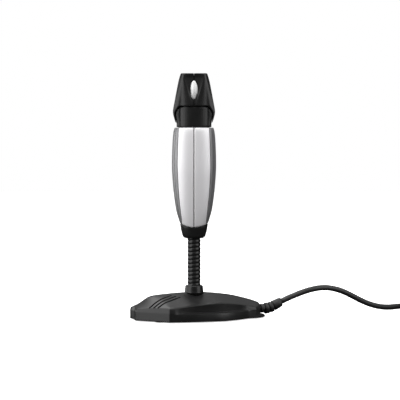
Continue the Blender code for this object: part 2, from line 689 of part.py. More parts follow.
def make_head_half(name, end, mic):
    shares = (0.0, 0.12, 0.28, 0.46, 0.64, 0.82, 0.955)
    last = 13
    roof = HEAD_TOP - 1.1 * HEAD_WALL
    outer = []
    inner = []
    for share in shares:
        outer_row = []
        inner_row = []
        for column in range(last + 1):
            low = head_low(column, last)
            z = low + (HEAD_TOP - low) * share
            a = head_outline(z, 0.0, end, CHANNEL_DEEP)[column]
            b = head_outline(min(z, roof), head_wall(z), end)[column]
            b.x = end * max(abs(b.x), GAP / 2)
            if z < COLLAR_HIGH and abs(a.x) > COLLAR_LONG:
                b.x = end * max(abs(b.x), COLLAR_LONG + GAP)
            outer_row.append(a)
            inner_row.append(b)
        outer.append(outer_row)
        inner.append(inner_row)
    rim = head_outline(HEAD_TOP, 0.5 * MM, end)
    rim_inside = head_outline(roof, HEAD_WALL + 0.2 * MM, end)
    for reach in (HEAD_TOP, NOTCH_WIDE, GAP / 2):
        outer_row = []
        inner_row = []
        for a, b in zip(rim, rim_inside):
            u = min(reach, abs(a.x))
            drop = NOTCH_DEEP * max(0.0, 1 - (u - GAP / 2) / (NOTCH_WIDE - GAP / 2))
            outer_row.append(Vector((end * u, a.y, HEAD_TOP - drop)))
            inner_row.append(Vector((end * min(reach, abs(b.x)), b.y, roof)))
        outer.append(outer_row)
        inner.append(inner_row)
    head = finish_mesh(name, slab(outer, inner, False), BLACK_SATIN, mic, sharp=22.0)
    for side in (-1, 1):
        tool = oval_solid(INSERT_LONG + GAP, INSERT_TALL + GAP, side, 5.2 * MM)
        cut(head, cutter(f"{name}_oval_guide_{side}", tool, mic))
    if end < 0:
        reach = Vector((4 * MM, GRILLE_WIDE + GAP, GRILLE_TALL + GAP))
        tool = box(-reach, reach)
        cut(head, cutter("grille_guide", tool, mic, grille_place()))


def oval_solid(long, tall, side, reach):
    """An upright oval plug through a side of the head."""
    z = INSERT_Z
    out = blend_through(HEAD_DEEP, z)
    rings = []
    for v, scale in ((out - reach, 1.0), (out + 3 * MM, 1.0)):
        rings.append([
            (long * scale * math.cos(2 * math.pi * k / 20), side * v,
             z + tall * scale * math.sin(2 * math.pi * k / 20))
            for k in range(20)
        ])
    return rings_solid(rings)


def make_insert(name, side, mic):
    """A domed oval insert on the head's side seam."""
    out = blend_through(HEAD_DEEP, INSERT_Z)
    rings = []
    for proud, scale in ((-2.4, 1.0), (-0.5, 1.0), (0.05, 0.86), (0.4, 0.55), (0.5, 0.2)):
        rings.append([
            (INSERT_LONG * scale * math.cos(2 * math.pi * k / 20), side * (out + proud * MM),
             INSERT_Z + INSERT_TALL * scale * math.sin(2 * math.pi * k / 20))
            for k in range(20)
        ])
    finish_mesh(name, rings_solid(rings), CHROME, mic)


def grille_place():
    """The middle of the grille on the sloping front face, with X pointing out of the face."""
    u = -blend_through(HEAD_WIDE, GRILLE_Z)
    return Matrix.Translation((u, 0.0, GRILLE_Z)) @ Matrix.Rotation(FACE_SLOPE, 4, "Y")


def make_grille(mic):
    low = (0.15 * MM, -GRILLE_WIDE, -GRILLE_TALL)
    plate = box(low, (low[0] + GRILLE_THICK, GRILLE_WIDE, GRILLE_TALL))
    grille = finish_mesh("grille", plate, BLACK_MATT, mic)
    grille.matrix_local = grille_place()
    step = 2 * GRILLE_TALL / (GRILLE_SLOTS + 1)
    for k in range(GRILLE_SLOTS):
        z = -GRILLE_TALL + (k + 1) * step
        tool = box((-3 * MM, -3.2 * MM, z - 0.6 * MM), (5 * MM, 3.2 * MM, z + 0.6 * MM))
        cut(grille, cutter(f"grille_slot_{k}", tool, mic, grille_place()))


def make_capsule(mic):
    """The capsule faces the front, in a rubber grommet behind a foam pad."""
    front = -blend_through(HEAD_WIDE, GRILLE_Z) + 4.4 * MM
    count = 24
    level = Matrix.Translation((front, 0.0, CAPSULE_Z)) @ Matrix.Rotation(math.pi / 2, 4, "Y")
    case = turned([(CAPSULE_RADIUS, 0.0), (CAPSULE_RADIUS, CAPSULE_LONG)], count)
    can = finish_mesh("capsule", case, STEEL, mic)
    can.matrix_local = level
    hole = CAPSULE_RADIUS + 0.1 * MM
    low = 0.6 * MM
    rim = 6.2 * MM
    ring = turned([(hole, low), (rim, low), (rim, CAPSULE_LONG), (hole, CAPSULE_LONG)], count, True)
    grommet = finish_mesh("capsule_grommet", ring, RUBBER, mic)
    grommet.matrix_local = level
    tall = 6.0 * MM
    behind = GRILLE_THICK + 0.5 * MM
    pad = box((behind, -GRILLE_WIDE, -tall), (behind + MM, GRILLE_WIDE, tall))
    foam = finish_mesh("foam_pad", pad, FOAM, mic)
    foam.matrix_local = grille_place()


# ---------------------------------------------------------------- the cable


def make_relief(stem):
    """The ribbed boot, with a thin neck through the shell and a flange inside it."""
    rings = []
    for place, radius in RELIEF_RADII:
        x = place * MM
        centre = Vector((x, 0.0, blend_through(RELIEF_PATH, x)))
        ahead = blend_through(RELIEF_PATH, x + MM) - blend_through(RELIEF_PATH, x - MM)
        along = Vector((2 * MM, 0.0, ahead)).normalized()
        side = Vector((0.0, 1.0, 0.0))
        up = along.cross(side)
        rings.append([
            centre + radius * MM * (side * math.cos(a) + up * math.sin(a))
            for a in (2 * math.pi * k / 14 for k in range(14))
        ])
    finish_mesh("strain_relief", rings_solid(rings), RUBBER, stem)


def smooth_route(points, spacing):
    """Points at an even spacing on a Catmull-Rom curve through the route."""
    dense = []
    ends = [points[0] * 2 - points[1]] + points + [points[-1] * 2 - points[-2]]
    for a, b, c, d in zip(ends, ends[1:], ends[2:], ends[3:]):
        for k in range(12):
            t = k / 12
            dense.append(0.5 * (2 * b + (c - a) * t + (2 * a - 5 * b + 4 * c - d) * t ** 2
                                + (3 * b - a - 3 * c + d) * t ** 3))
    dense.append(points[-1])
    kept = [dense[0]]
    for point in dense:
        if (point - kept[-1]).length >= spacing:
            kept.append(point)
    if (points[-1] - kept[-1]).length < 0.5 * spacing:
        kept.pop()
    return kept + [points[-1]]


def make_cable(stem):
    route = smooth_route([Vector(p) * MM for p in CABLE_ROUTE], 2.3 * CABLE)
    curve = bpy.data.curves.new("cable_run", "CURVE")
    curve.dimensions = "3D"
    spline = curve.splines.new("POLY")
    spline.points.add(len(route) - 1)
    for point, place in zip(spline.points, route):
        point.co = (*place, 1.0)
    curve.bevel_depth = CABLE / 2
    curve.bevel_resolution = CABLE_SIDES
    curve.use_fill_caps = True
    curve.materials.append(CABLE_BLACK)
    run = bpy.data.objects.new("cable_run", curve)
    bpy.context.scene.collection.objects.link(run)
    run.parent = stem


def make_coil(stem):
    low = COIL_LIFT
    high = COIL_LIFT + COIL_HIGH
    near = COIL_MEAN - COIL_WIDE / 2
    far = COIL_MEAN + COIL_WIDE / 2
    centre = (COIL_X, 0.0)
    ring = turned([(near, low), (far, low), (far, high), (near, high)], 40, True, centre)
    finish_mesh("cable_coil", ring, CABLE_BLACK, stem)
    inside = (near - GAP, far + GAP, low - GAP, high + GAP)
    outside = (inside[0] - TIE_THICK, inside[1] + TIE_THICK, inside[2] - TIE_THICK, inside[3] + TIE_THICK)
    rings = []
    for y, (a, b, c, d) in ((-TIE_WIDE / 2, outside), (TIE_WIDE / 2, outside),
                            (TIE_WIDE / 2, inside), (-TIE_WIDE / 2, inside)):
        rings.append([(COIL_X + a, y, c), (COIL_X + b + 0.2 * MM, y, c),
                      (COIL_X + b + 0.2 * MM, y, d), (COIL_X + a, y, d)])
    finish_mesh("coil_tie", rings_solid(rings, True), TIE_GREY, stem)


def make_plug(stem):
    """The 3.5 mm plug lies across the top of the coil."""
    place = Vector((COIL_X - PLUG_BACK, COIL_MEAN, COIL_LIFT + COIL_HIGH + PLUG_RADIUS + GAP))
    level = Matrix.Translation(place) @ Matrix.Rotation(math.pi / 2, 4, "Y")
    grip_profile = [(2.7 * MM, 0.0), (3.3 * MM, 2.0 * MM), (PLUG_RADIUS, 5.0 * MM),
                    (PLUG_RADIUS, PLUG_LONG - 0.6 * MM), (3.4 * MM, PLUG_LONG)]
    sleeve_from = PLUG_LONG + 0.1 * MM
    sleeve_to = sleeve_from + SLEEVE_LONG
    sleeve_profile = [(2.6 * MM, sleeve_from), (2.6 * MM, sleeve_from + 0.8 * MM),
                      (JACK_RADIUS, sleeve_from + 0.8 * MM), (JACK_RADIUS, sleeve_to)]
    tip_from = sleeve_to + 0.2 * MM
    tip_profile = [(JACK_RADIUS, tip_from), (1.2 * MM, tip_from + 0.7 * MM), (1.6 * MM, tip_from + 1.4 * MM),
                   (0.4 * MM, tip_from + TIP_LONG)]
    pieces = (
        ("plug_grip", grip_profile, RUBBER),
        ("plug_sleeve", sleeve_profile, CHROME),
        ("plug_tip", tip_profile, CHROME),
    )
    for name, profile, finish in pieces:
        made = finish_mesh(name, turned(profile, 16), finish, stem)
        made.matrix_local = level


def empty(name, place, turn=0.0):
    made = bpy.data.objects.new(name, None)
    made.location = place
    made.rotation_euler = (0.0, 0.0, turn)
    bpy.context.scene.collection.objects.link(made)
    return made


clear_scene()
BLACK_SATIN = material("black_satin", (0.018, 0.018, 0.019), 0.36)
BLACK_MATT = material("black_matt", (0.02, 0.02, 0.02), 0.6)
RUBBER = material("black_rubber", (0.014, 0.014, 0.014), 0.75)
CABLE_BLACK = material("cable_black", (0.02, 0.02, 0.021), 0.55)
SILVER = material("silver_paint", (0.72, 0.72, 0.73), 0.34, 0.6)
GREY = material("grey_inlay", (0.24, 0.24, 0.245), 0.4, 0.2)
CHROME = material("chrome", (0.88, 0.88, 0.88), 0.08, 1.0)
STEEL = material("steel", (0.55, 0.55, 0.56), 0.35, 1.0)
FOAM = material("foam", (0.03, 0.03, 0.03), 0.95)
TIE_GREY = material("tie_grey", (0.05, 0.05, 0.05), 0.6)

base_frame = empty("base_frame", (STEM_X, 0.0, 0.0))
neck_end_frame = empty("neck_end_frame", (STEM_X, 0.0, NECK_HIGH))
mic_frame = empty("mic_frame", (STEM_X, 0.0, 0.0), MIC_TURN)

make_base_top(base_frame)
make_base_plate(base_frame)
make_base_fittings(base_frame)
make_weight(base_frame)
make_ferrule(base_frame)
make_nut(base_frame)
make_neck(base_frame)
make_socket(neck_end_frame)
make_boot(mic_frame)
make_half_shell("front_shell", -1, mic_frame)
make_half_shell("rear_shell", 1, mic_frame)
make_inlay("front_panel", -1, mic_frame)
make_inlay("rear_panel", 1, mic_frame)
make_collar(mic_frame)
make_head_half("head_front_shell", -1, mic_frame)
make_head_half("head_rear_shell", 1, mic_frame)
make_insert("near_insert", -1, mic_frame)
make_insert("far_insert", 1, mic_frame)
make_grille(mic_frame)
make_capsule(mic_frame)
make_relief(base_frame)
make_cable(base_frame)
make_coil(base_frame)
make_plug(base_frame)
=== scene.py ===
"""The desktop microphone's looks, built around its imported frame."""
import math

import bmesh
import bpy
from mathutils import Matrix, Vector


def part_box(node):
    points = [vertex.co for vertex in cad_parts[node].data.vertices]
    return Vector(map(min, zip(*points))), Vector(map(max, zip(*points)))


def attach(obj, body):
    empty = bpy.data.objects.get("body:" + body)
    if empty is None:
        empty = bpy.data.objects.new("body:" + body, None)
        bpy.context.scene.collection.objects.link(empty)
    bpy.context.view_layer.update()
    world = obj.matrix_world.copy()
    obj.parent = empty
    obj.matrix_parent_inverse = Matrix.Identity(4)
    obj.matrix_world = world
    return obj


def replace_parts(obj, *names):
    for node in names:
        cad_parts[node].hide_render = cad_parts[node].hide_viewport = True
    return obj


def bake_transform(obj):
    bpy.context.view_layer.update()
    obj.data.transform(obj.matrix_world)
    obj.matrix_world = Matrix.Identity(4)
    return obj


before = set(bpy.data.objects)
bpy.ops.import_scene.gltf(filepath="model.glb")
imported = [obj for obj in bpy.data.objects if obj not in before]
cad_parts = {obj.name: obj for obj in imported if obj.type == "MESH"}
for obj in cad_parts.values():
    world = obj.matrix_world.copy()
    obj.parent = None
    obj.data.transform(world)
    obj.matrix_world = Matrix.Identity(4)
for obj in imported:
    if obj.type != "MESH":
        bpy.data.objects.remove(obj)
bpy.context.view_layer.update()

# Shapes are worked out in millimetres and turned into metres when a mesh is made.
MM = 0.001
STEM_X = sum(corner.x for corner in map(Vector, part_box("neck_ferrule"))) / 2 / MM
MIC_TURN = math.radians(-16.0)
GAP = 0.3

# Camera
VIEW_TURN = math.radians(-16.0)  # the camera looks this far round from +Y
VIEW_FAR = 1.296  # metres from the neck
VIEW_HIGH = 0.139  # metres above the table
VIEW_SIDE = 0.0043  # the neck stands left of the middle of the picture
VIEW_DOWN = math.radians(2.35)
LENS = 162.0

# Light: degrees right of the camera's side, distance, height, width and height of the box, watts
LAMPS = (
    ("left_box", -62.0, 1.0, 0.34, 0.9, 1.1, 12.3),
    ("right_box", 62.0, 1.0, 0.5, 0.8, 1.0, 8.5),
    ("rim_box", -112.0, 1.0, 0.16, 0.5, 0.4, 2.4),
    ("top_box", -140.0, 0.6, 1.25, 1.1, 1.0, 12.0),
    ("front_box", 0.0, 0.7, 1.25, 0.8, 0.6, 9.0),
)
LAMP_AIM = 0.1
ROOM = ((0.0, 0.03), (0.2, 0.08), (0.55, 0.4), (1.0, 0.7))  # what surfaces see, by height
FLOOR_GLOW = 0.72

# Base, measured from the neck
OUTLINE = (  # runs of half the outline; a crisp corner joins two runs
    ((-44.3, 0.0), (-45.6, 5.0), (-45.5, 8.6), (-43.4, 10.8)),
    ((-43.4, 10.8), (-34.8, 20.0), (-26.2, 29.3)),
    ((-26.2, 29.3), (-17.0, 30.6), (-8.0, 31.0), (1.0, 31.1), (9.0, 30.9), (15.0, 29.8), (21.0, 27.3),
     (27.0, 23.9), (32.0, 20.4), (36.5, 17.6), (42.0, 16.4)),
    ((42.0, 16.4), (46.0, 14.3), (49.6, 10.6), (52.0, 5.8), (52.8, 0.0)),
)
OUTLINE_STEP = 1.1
RIDGE = ((-45.0, 9.4), (-40.4, 12.3), (-33.5, 16.9), (-24.7, 18.3), (-8.0, 19.4), (8.0, 19.2),
         (24.7, 17.4), (36.0, 15.0), (45.0, 12.3), (53.0, 9.3))
WALL = ((-45.0, 9.4), (-26.0, 10.6), (-17.0, 10.9), (-4.0, 12.4), (11.0, 13.4), (24.0, 11.8),
        (34.0, 9.9), (42.0, 9.0), (53.0, 7.6))
RIDGE_ROUND = 0.12
SPINE_SHARE = 0.55
SHELL_THICK = 1.8
FOOT_Z = 0.8
LIP_Z = 2.2
STEP_Z = 2.6
LEDGE_Z = 6.6
TAIL_X = 42.0
TAIL_LONG = 8.0
TAIL_LEAN = 3.4
BEVEL = 1.7
SCOOP_FROM = -22.0
SCOOP_TO = 37.0
SCOOP_DEEP = 3.6
SEAT_LONG = 7.4
SEAT_WIDE = 7.2
TOP_ROWS = 16
FERRULE = (  # radius and height: up the outside, over the rim and into the bore
    (1.6, 9.8), (4.4, 9.8), (4.4, 15.2), (4.9, 15.6), (6.7, 18.6), (6.95, 19.3), (6.8, 19.65),
    (6.4, 23.7), (6.05, 24.3), (5.15, 24.3), (5.0, 23.0), (1.6, 23.0),
)
CABLE_HOLE = 2.2
SADDLE_DEEP = 1.6  # the top falls away faster beside the neck
SADDLE_LONG = 14.0
SLOT_COUNT = 3
SLOT_MIDDLE = (-27.9, 10.9)
SLOT_STEP = (2.5, 2.6)
SLOT_ANGLE = math.radians(28.5)
SLOT_LONG = 22.2
SLOT_WIDE = 1.6
GROOVE_FROM = 15.0
GROOVE_TO = 41.0
GROOVE_WIDE = 1.9
GROOVE_DEEP = 0.8

# Neck
NECK_LOW = 23.8
NECK_HIGH = 58.0
TURNS = 12
PITCH = (NECK_HIGH - NECK_LOW) / TURNS
RIB_OUT = 4.72
RIB_IN = 4.36
NECK_BORE = 1.6
NECK_ROWS = 12  # rows of points in each turn
NECK_COLUMNS = 48

# Microphone, in its own frame: u to the rear, v to the side
BOOT_LOW = 58.4
BOOT_BORE = 5.0
BOOT_ROUND = 1.9  # height of its rounded lower edge
BODY_LOW = 66.6
BODY_BOW = 2.2
BODY_TOP = 137.9
BODY_WIDE = ((58.0, 7.2), (60.0, 8.2), (67.0, 10.3), (74.2, 12.1), (85.0, 13.9), (95.0, 15.0),
             (106.0, 15.8), (114.0, 15.9), (122.0, 15.7), (130.0, 15.3), (135.4, 14.7), (138.0, 13.9))
BODY_EDGE = ((60.0, 8.0), (70.0, 8.8), (85.0, 10.3), (98.0, 11.3), (112.0, 11.8), (138.0, 11.0))
BODY_FLAT = 0.8
BODY_POWER = 2.3
BODY_WALL = 2.5
PANEL_SINK = 1.2
BODY_ROWS = 64
LINE_SHARE = 0.52  # where the moulded line runs across an inlay's side
LINE_WIDE = 0.024  # half its width, in radians round the section
LINE_DEEP = 0.6
COLLAR_LOW = 138.2
COLLAR_HIGH = 153.0
SPIGOT_LOW = 132.0  # the collar reaches down into the body and up into the head
SPIGOT_HIGH = 156.5
COLLAR_WIDE = ((138.2, 12.5), (141.5, 12.6), (145.0, 13.35), (148.0, 13.7), (150.5, 13.2), (153.0, 12.2))
COLLAR_DEEP = 9.9
COLLAR_PAD = 9.7
COLLAR_CROWN = 2.6
HEAD_EDGE = 153.4
CHEEK_LOW = 141.5
HEAD_TOP = 176.8
HEAD_WIDE = ((141.5, 13.2), (145.3, 14.4), (149.0, 15.1), (152.0, 14.8), (157.0, 13.85),
             (164.2, 12.5), (171.4, 11.05), (176.8, 9.5))
HEAD_DEEP = ((141.5, 11.3), (153.0, 11.5), (165.0, 9.9), (176.8, 8.2))
HEAD_FACE = ((141.5, 9.7), (153.4, 9.7), (176.8, 7.7))
HEAD_WALL = 1.7
CHANNEL_DEEP = 0.9
CHANNEL_LOW = 156.0  # the channel widens from here up
CHANNEL_RISE = 17.0
CHANNEL_NARROW = 2.2
CHANNEL_FLARE = 5.1
FACET_SLOPE = 0.27  # how far a facet falls back for each millimetre outwards
CHAMFER_BULGE = 0.4
NOTCH_DEEP = 0.9  # where the two halves meet on top
SEAM_STEPS = 2  # points on a section: seam, channel, facet, chamfer, end
CHANNEL_STEPS = 10
FACET_STEPS = 5
CHAMFER_STEPS = 12
END_STEPS = 5
SKIRT_CLEAR = 24  # past this point the inside is kept clear of the collar
INSERT_Z = 164.9
INSERT_TALL = 6.65
INSERT_LONG = 2.35
INSERT_GAP = 0.15
INSERT_BACK = -2.4  # depth of its back and of its edge, and height of its crown
INSERT_EDGE = -0.75
INSERT_CROWN = 1.6
INSERT_STEPS = 12
OVAL_POINTS = 48
GRILLE_Z = 163.5
GRILLE_TALL = 7.0
GRILLE_WIDE = 4.6
GRILLE_THICK = 1.4
GRILLE_SINK = 0.15
GRILLE_GAP = 0.2
GRILLE_SLOTS = 5
FACE_SLOPE = math.radians(10.1)

# Cable, in metres from the neck, and its coil in millimetres
CABLE = 0.0042
CABLE_ROUTE = (
    (0.06695, 0.0, 0.0110), (0.0710, 0.0, 0.0128), (0.0770, 0.0, 0.0151), (0.0840, 0.0, 0.0175),
    (0.0910, 0.0, 0.0192), (0.0990, 0.0004, 0.0200), (0.1070, 0.0011, 0.0191), (0.1150, 0.0022, 0.0167),
    (0.1230, 0.0035, 0.0131), (0.1310, 0.0052, 0.0092), (0.1390, 0.0072, 0.0060), (0.1470, 0.0096, 0.0039),
    (0.1550, 0.0122, 0.0029), (0.1630, 0.0152, 0.0029), (0.1700, 0.0181, 0.0029), (0.1774, 0.02135, 0.0029),
)
COIL_X = 206.0
COIL_LIFT = 0.8
COIL_OUTER_TURN = 31.5  # radius of the outermost turn's centre line
COIL_SPIRAL = 3  # turns in one layer's spiral
COIL_CLIMB = 0.6  # share of a turn spent on the way up to the next layer
COIL_START = math.radians(115.0)
COIL_POINTS = 18  # points in each turn
RELIEF_FOOT = ((46.4, 1.9), (50.1, 1.9), (50.2, 2.9), (50.4, 3.2), (50.7, 3.3), (52.7, 3.3), (52.9, 3.1))
RELIEF_END = ((66.2, 2.85), (66.4, 2.35))
RELIEF_GROOVE = 2.8
RELIEF_RIBS = (  # from, to, radius where each rib starts, and where it ends
    (53.5, 56.3, 4.05, 4.1), (57.0, 59.5, 4.0, 3.9), (60.2, 65.9, 3.8, 3.4),
)
RELIEF_PATH = ((44.0, 6.1), (47.3, 6.1), (51.0, 6.2), (54.0, 6.1), (56.5, 6.4), (59.5, 7.4), (62.5, 8.9),
               (66.6, 10.85))
PLUG_SIDE = 25.2  # where the plug lies on the coil, and how high
PLUG_HIGH = 17.6
PLUG_BACK = 4.0
PLUG_RADIUS = 3.9
PLUG_LONG = 17.0
JACK_RADIUS = 1.75
SLEEVE_LONG = 10.3
TIP_LONG = 3.4


# ---- shape helpers


def through(points, x):
    """A smooth curve through (x, value) pairs."""
    if x <= points[0][0]:
        return points[0][1]
    if x >= points[-1][0]:
        return points[-1][1]
    i = max(k for k in range(len(points) - 1) if points[k][0] <= x)

    def slope(k):
        low = points[max(k - 1, 0)]
        high = points[min(k + 1, len(points) - 1)]
        return (high[1] - low[1]) / (high[0] - low[0])

    (x0, y0), (x1, y1) = points[i], points[i + 1]
    span = x1 - x0
    t = (x - x0) / span
    return (
        y0 * (2 * t ** 3 - 3 * t ** 2 + 1)
        + slope(i) * span * (t ** 3 - 2 * t ** 2 + t)
        + y1 * (3 * t ** 2 - 2 * t ** 3)
        + slope(i + 1) * span * (t ** 3 - t ** 2)
    )


def curve_through(points, step):
    """Points about a step apart on a Catmull-Rom curve through a few points."""
    places = [Vector(p) for p in points]
    ends = [places[0] * 2 - places[1]] + places + [places[-1] * 2 - places[-2]]
    found = []
    for a, b, c, d in zip(ends, ends[1:], ends[2:], ends[3:]):
        count = max(1, round((c - b).length / step))
        for k in range(count):
            t = k / count
            found.append(0.5 * (2 * b + (c - a) * t + (2 * a - 5 * b + 4 * c - d) * t ** 2
                                + (3 * b - a - 3 * c + d) * t ** 3))
    return found + [places[-1]]


def eased(points, radius):
    """Round the inner corners of an open line of points, three points to a corner."""
    places = [Vector(p) for p in points]
    found = [places[0]]
    for before, corner, after in zip(places, places[1:], places[2:]):
        back = before - corner
        on = after - corner
        a = corner + back * min(0.4, radius / max(back.length, 1e-6))
        b = corner + on * min(0.4, radius / max(on.length, 1e-6))
        found += [a, (a + b + 2 * corner) / 4, b]
    return found + [places[-1]]


def new_object(name, shape, finish, sharp=40.0):
    """A bmesh in millimetres becomes an object in metres with outward faces."""
    bmesh.ops.remove_doubles(shape, verts=shape.verts, dist=1e-4)
    bmesh.ops.dissolve_degenerate(shape, edges=shape.edges, dist=1e-5)
    bmesh.ops.recalc_face_normals(shape, faces=shape.faces)
    if shape.calc_volume(signed=True) < 0:
        bmesh.ops.reverse_faces(shape, faces=shape.faces)
    bmesh.ops.scale(shape, vec=(MM, MM, MM), verts=shape.verts)
    mesh = bpy.data.meshes.new(name)
    shape.to_mesh(mesh)
    shape.free()
    mesh.shade_smooth()
    mesh.set_sharp_from_angle(angle=math.radians(sharp))
    mesh.materials.append(finish)
    made = bpy.data.objects.new(name, mesh)
    bpy.context.scene.collection.objects.link(made)
    return made


def add_faces(shape, points, faces):
    corners = [shape.verts.new(point) for point in points]
    for face in faces:
        shape.faces.new([corners[k] for k in face])


def slab(outer, inner, around):
    """A closed wall between two grids of points; around joins the last column to the first."""
    shape = bmesh.new()
    rows = len(outer)
    columns = len(outer[0])
    steps = columns if around else columns - 1
    points = [point for grid in (outer, inner) for row in grid for point in row]

    def at(side, row, column):
        return (side * rows + row) * columns + column % columns

    faces = []
    for row in range(rows - 1):
        for column in range(steps):
            for side in (0, 1):
                faces.append((at(side, row, column), at(side, row, column + 1),
                              at(side, row + 1, column + 1), at(side, row + 1, column)))
    for row in (0, rows - 1):
        for column in range(steps):
            faces.append((at(0, row, column), at(0, row, column + 1),
                          at(1, row, column + 1), at(1, row, column)))
    if not around:
        for column in (0, columns - 1):
            for row in range(rows - 1):
                faces.append((at(0, row, column), at(0, row + 1, column),
                              at(1, row + 1, column), at(1, row, column)))
    add_faces(shape, points, faces)
    return shape


def rings_solid(rings, hollow=False):
    """Skin successive rings; the ends are capped, or joined to each other when hollow."""
    shape = bmesh.new()
    count = len(rings[0])
    points = [point for ring in rings for point in ring]
    last = len(rings) if hollow else len(rings) - 1
    faces = []
    for row in range(last):
        above = (row + 1) % len(rings)
        for k in range(count):
            after = (k + 1) % count
            faces.append((row * count + k, row * count + after, above * count + after, above * count + k))
    if not hollow:
        faces.append(tuple(range(count)))
        faces.append(tuple(range((len(rings) - 1) * count, len(rings) * count)))
    add_faces(shape, points, faces)
    return shape


def circle(radius, z, count):
    return [(radius * math.cos(2 * math.pi * k / count), radius * math.sin(2 * math.pi * k / count), z)
            for k in range(count)]


def turned(profile, count, hollow=False):
    """Turn (radius, z) pairs about a vertical axis."""
    return rings_solid([circle(radius, z, count) for radius, z in profile], hollow)


def box(low, high):
    shape = bmesh.new()
    bmesh.ops.create_cube(shape, size=1.0)
    bmesh.ops.scale(shape, vec=[b - a for a, b in zip(low, high)], verts=shape.verts)
    bmesh.ops.translate(shape, vec=[(a + b) / 2 for a, b in zip(low, high)], verts=shape.verts)
    return shape


def carve(target, tools):
    """Cut away the tools, and keep the result as the target's own mesh."""
    for tool in tools:
        cut = target.modifiers.new("cut", "BOOLEAN")
        cut.operation = "DIFFERENCE"
        cut.solver = "EXACT"
        cut.object = tool
    bpy.context.view_layer.update()
    graph = bpy.context.evaluated_depsgraph_get()
    result = bpy.data.meshes.new_from_object(target.evaluated_get(graph))
    target.modifiers.clear()
    target.data = result
    result.set_sharp_from_angle(angle=math.radians(28.0))
    for tool in tools:
        bpy.data.objects.remove(tool, do_unlink=True)


def soften(target, width, angle=32.0):
    """Small round edges."""
    bevel = target.modifiers.new("soft_edges", "BEVEL")
    bevel.width = width * MM
    bevel.segments = 2
    bevel.limit_method = "ANGLE"
    bevel.angle_limit = math.radians(angle)
    bevel.harden_normals = False


def on_base(piece):
    piece.location.x = STEM_X * MM
    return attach(piece, "base")


def on_mic(piece, matrix=None):
    place = Matrix.Translation((STEM_X * MM, 0.0, 0.0)) @ Matrix.Rotation(MIC_TURN, 4, "Z")
    piece.matrix_world = place @ (matrix or Matrix.Identity(4))
    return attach(piece, "microphone")


# ---- materials


def new_material(name, colour, roughness, metallic=0.0, specular=0.5):
    made = bpy.data.materials.new(name)
    made.use_nodes = True
    shader = made.node_tree.nodes["Principled BSDF"]
    shader.inputs["Base Color"].default_value = (*colour, 1.0)
    shader.inputs["Roughness"].default_value = roughness
    shader.inputs["Metallic"].default_value = metallic
    shader.inputs["Specular IOR Level"].default_value = specular
    return made, made.node_tree, shader


def object_noise(tree, scale, detail=4.0, stretch=(1.0, 1.0, 1.0)):
    """Noise that keeps to the object as it moves."""
    place = tree.nodes.new("ShaderNodeTexCoord")
    mapping = tree.nodes.new("ShaderNodeMapping")
    mapping.inputs["Scale"].default_value = stretch
    noise = tree.nodes.new("ShaderNodeTexNoise")
    noise.inputs["Scale"].default_value = scale
    noise.inputs["Detail"].default_value = detail
    tree.links.new(place.outputs["Object"], mapping.inputs["Vector"])
    tree.links.new(mapping.outputs["Vector"], noise.inputs["Vector"])
    return noise.outputs["Fac"]


def vary(tree, shader, factor, socket, low, high):
    """Let a noise move one number of the shader between two values."""
    spread = tree.nodes.new("ShaderNodeMapRange")
    spread.inputs["To Min"].default_value = low
    spread.inputs["To Max"].default_value = high
    tree.links.new(factor, spread.inputs["Value"])
    tree.links.new(spread.outputs["Result"], shader.inputs[socket])


def tint(tree, shader, factor, dark, light):
    """Let a noise move the colour between two near tones."""
    ramp = tree.nodes.new("ShaderNodeValToRGB")
    ramp.color_ramp.elements[0].position = 0.3
    ramp.color_ramp.elements[0].color = (*dark, 1.0)
    ramp.color_ramp.elements[1].position = 0.7
    ramp.color_ramp.elements[1].color = (*light, 1.0)
    tree.links.new(factor, ramp.inputs["Fac"])
    tree.links.new(ramp.outputs["Color"], shader.inputs["Base Color"])


def grain(tree, shader, factor, strength, distance):
    bump = tree.nodes.new("ShaderNodeBump")
    bump.inputs["Strength"].default_value = strength
    bump.inputs["Distance"].default_value = distance
    tree.links.new(factor, bump.inputs["Height"])
    tree.links.new(bump.outputs["Normal"], shader.inputs["Normal"])


def satin_black(name="satin_black_plastic", roughness=0.32, tone=0.0085):
    made, tree, shader = new_material(name, (tone, tone, tone), roughness, specular=0.24)
    broad = object_noise(tree, 60.0, 3.0)
    vary(tree, shader, broad, "Roughness", roughness - 0.04, roughness + 0.05)
    tint(tree, shader, broad, (tone * 0.8,) * 3, (tone * 1.25,) * 3)
    grain(tree, shader, object_noise(tree, 5200.0, 2.0), 0.12, 0.00003)
    return made


def matt_black(name, roughness, tone, size=3000.0, strength=0.3):
    made, tree, shader = new_material(name, (tone, tone, tone), roughness, specular=0.35)
    broad = object_noise(tree, 90.0, 4.0)
    vary(tree, shader, broad, "Roughness", roughness - 0.06, roughness + 0.08)
    tint(tree, shader, broad, (tone * 0.75,) * 3, (tone * 1.3,) * 3)
    grain(tree, shader, object_noise(tree, size, 3.0), strength, 0.00005)
    return made


def silver_paint():
    made, tree, shader = new_material("satin_silver_paint", (0.63, 0.622, 0.635), 0.46, metallic=0.3)
    flake = object_noise(tree, 9000.0, 2.0)
    broad = object_noise(tree, 45.0, 3.0)
    tint(tree, shader, flake, (0.59, 0.582, 0.595), (0.67, 0.662, 0.675))
    vary(tree, shader, broad, "Roughness", 0.42, 0.5)
    grain(tree, shader, flake, 0.06, 0.00002)
    return made


def grey_paint():
    made, tree, shader = new_material("satin_grey_inlay", (0.22, 0.22, 0.225), 0.38, metallic=0.45)
    flake = object_noise(tree, 8000.0, 2.0)
    broad = object_noise(tree, 50.0, 3.0)
    tint(tree, shader, flake, (0.17, 0.17, 0.175), (0.24, 0.24, 0.245))
    vary(tree, shader, broad, "Roughness", 0.34, 0.42)
    grain(tree, shader, flake, 0.08, 0.00002)
    return made


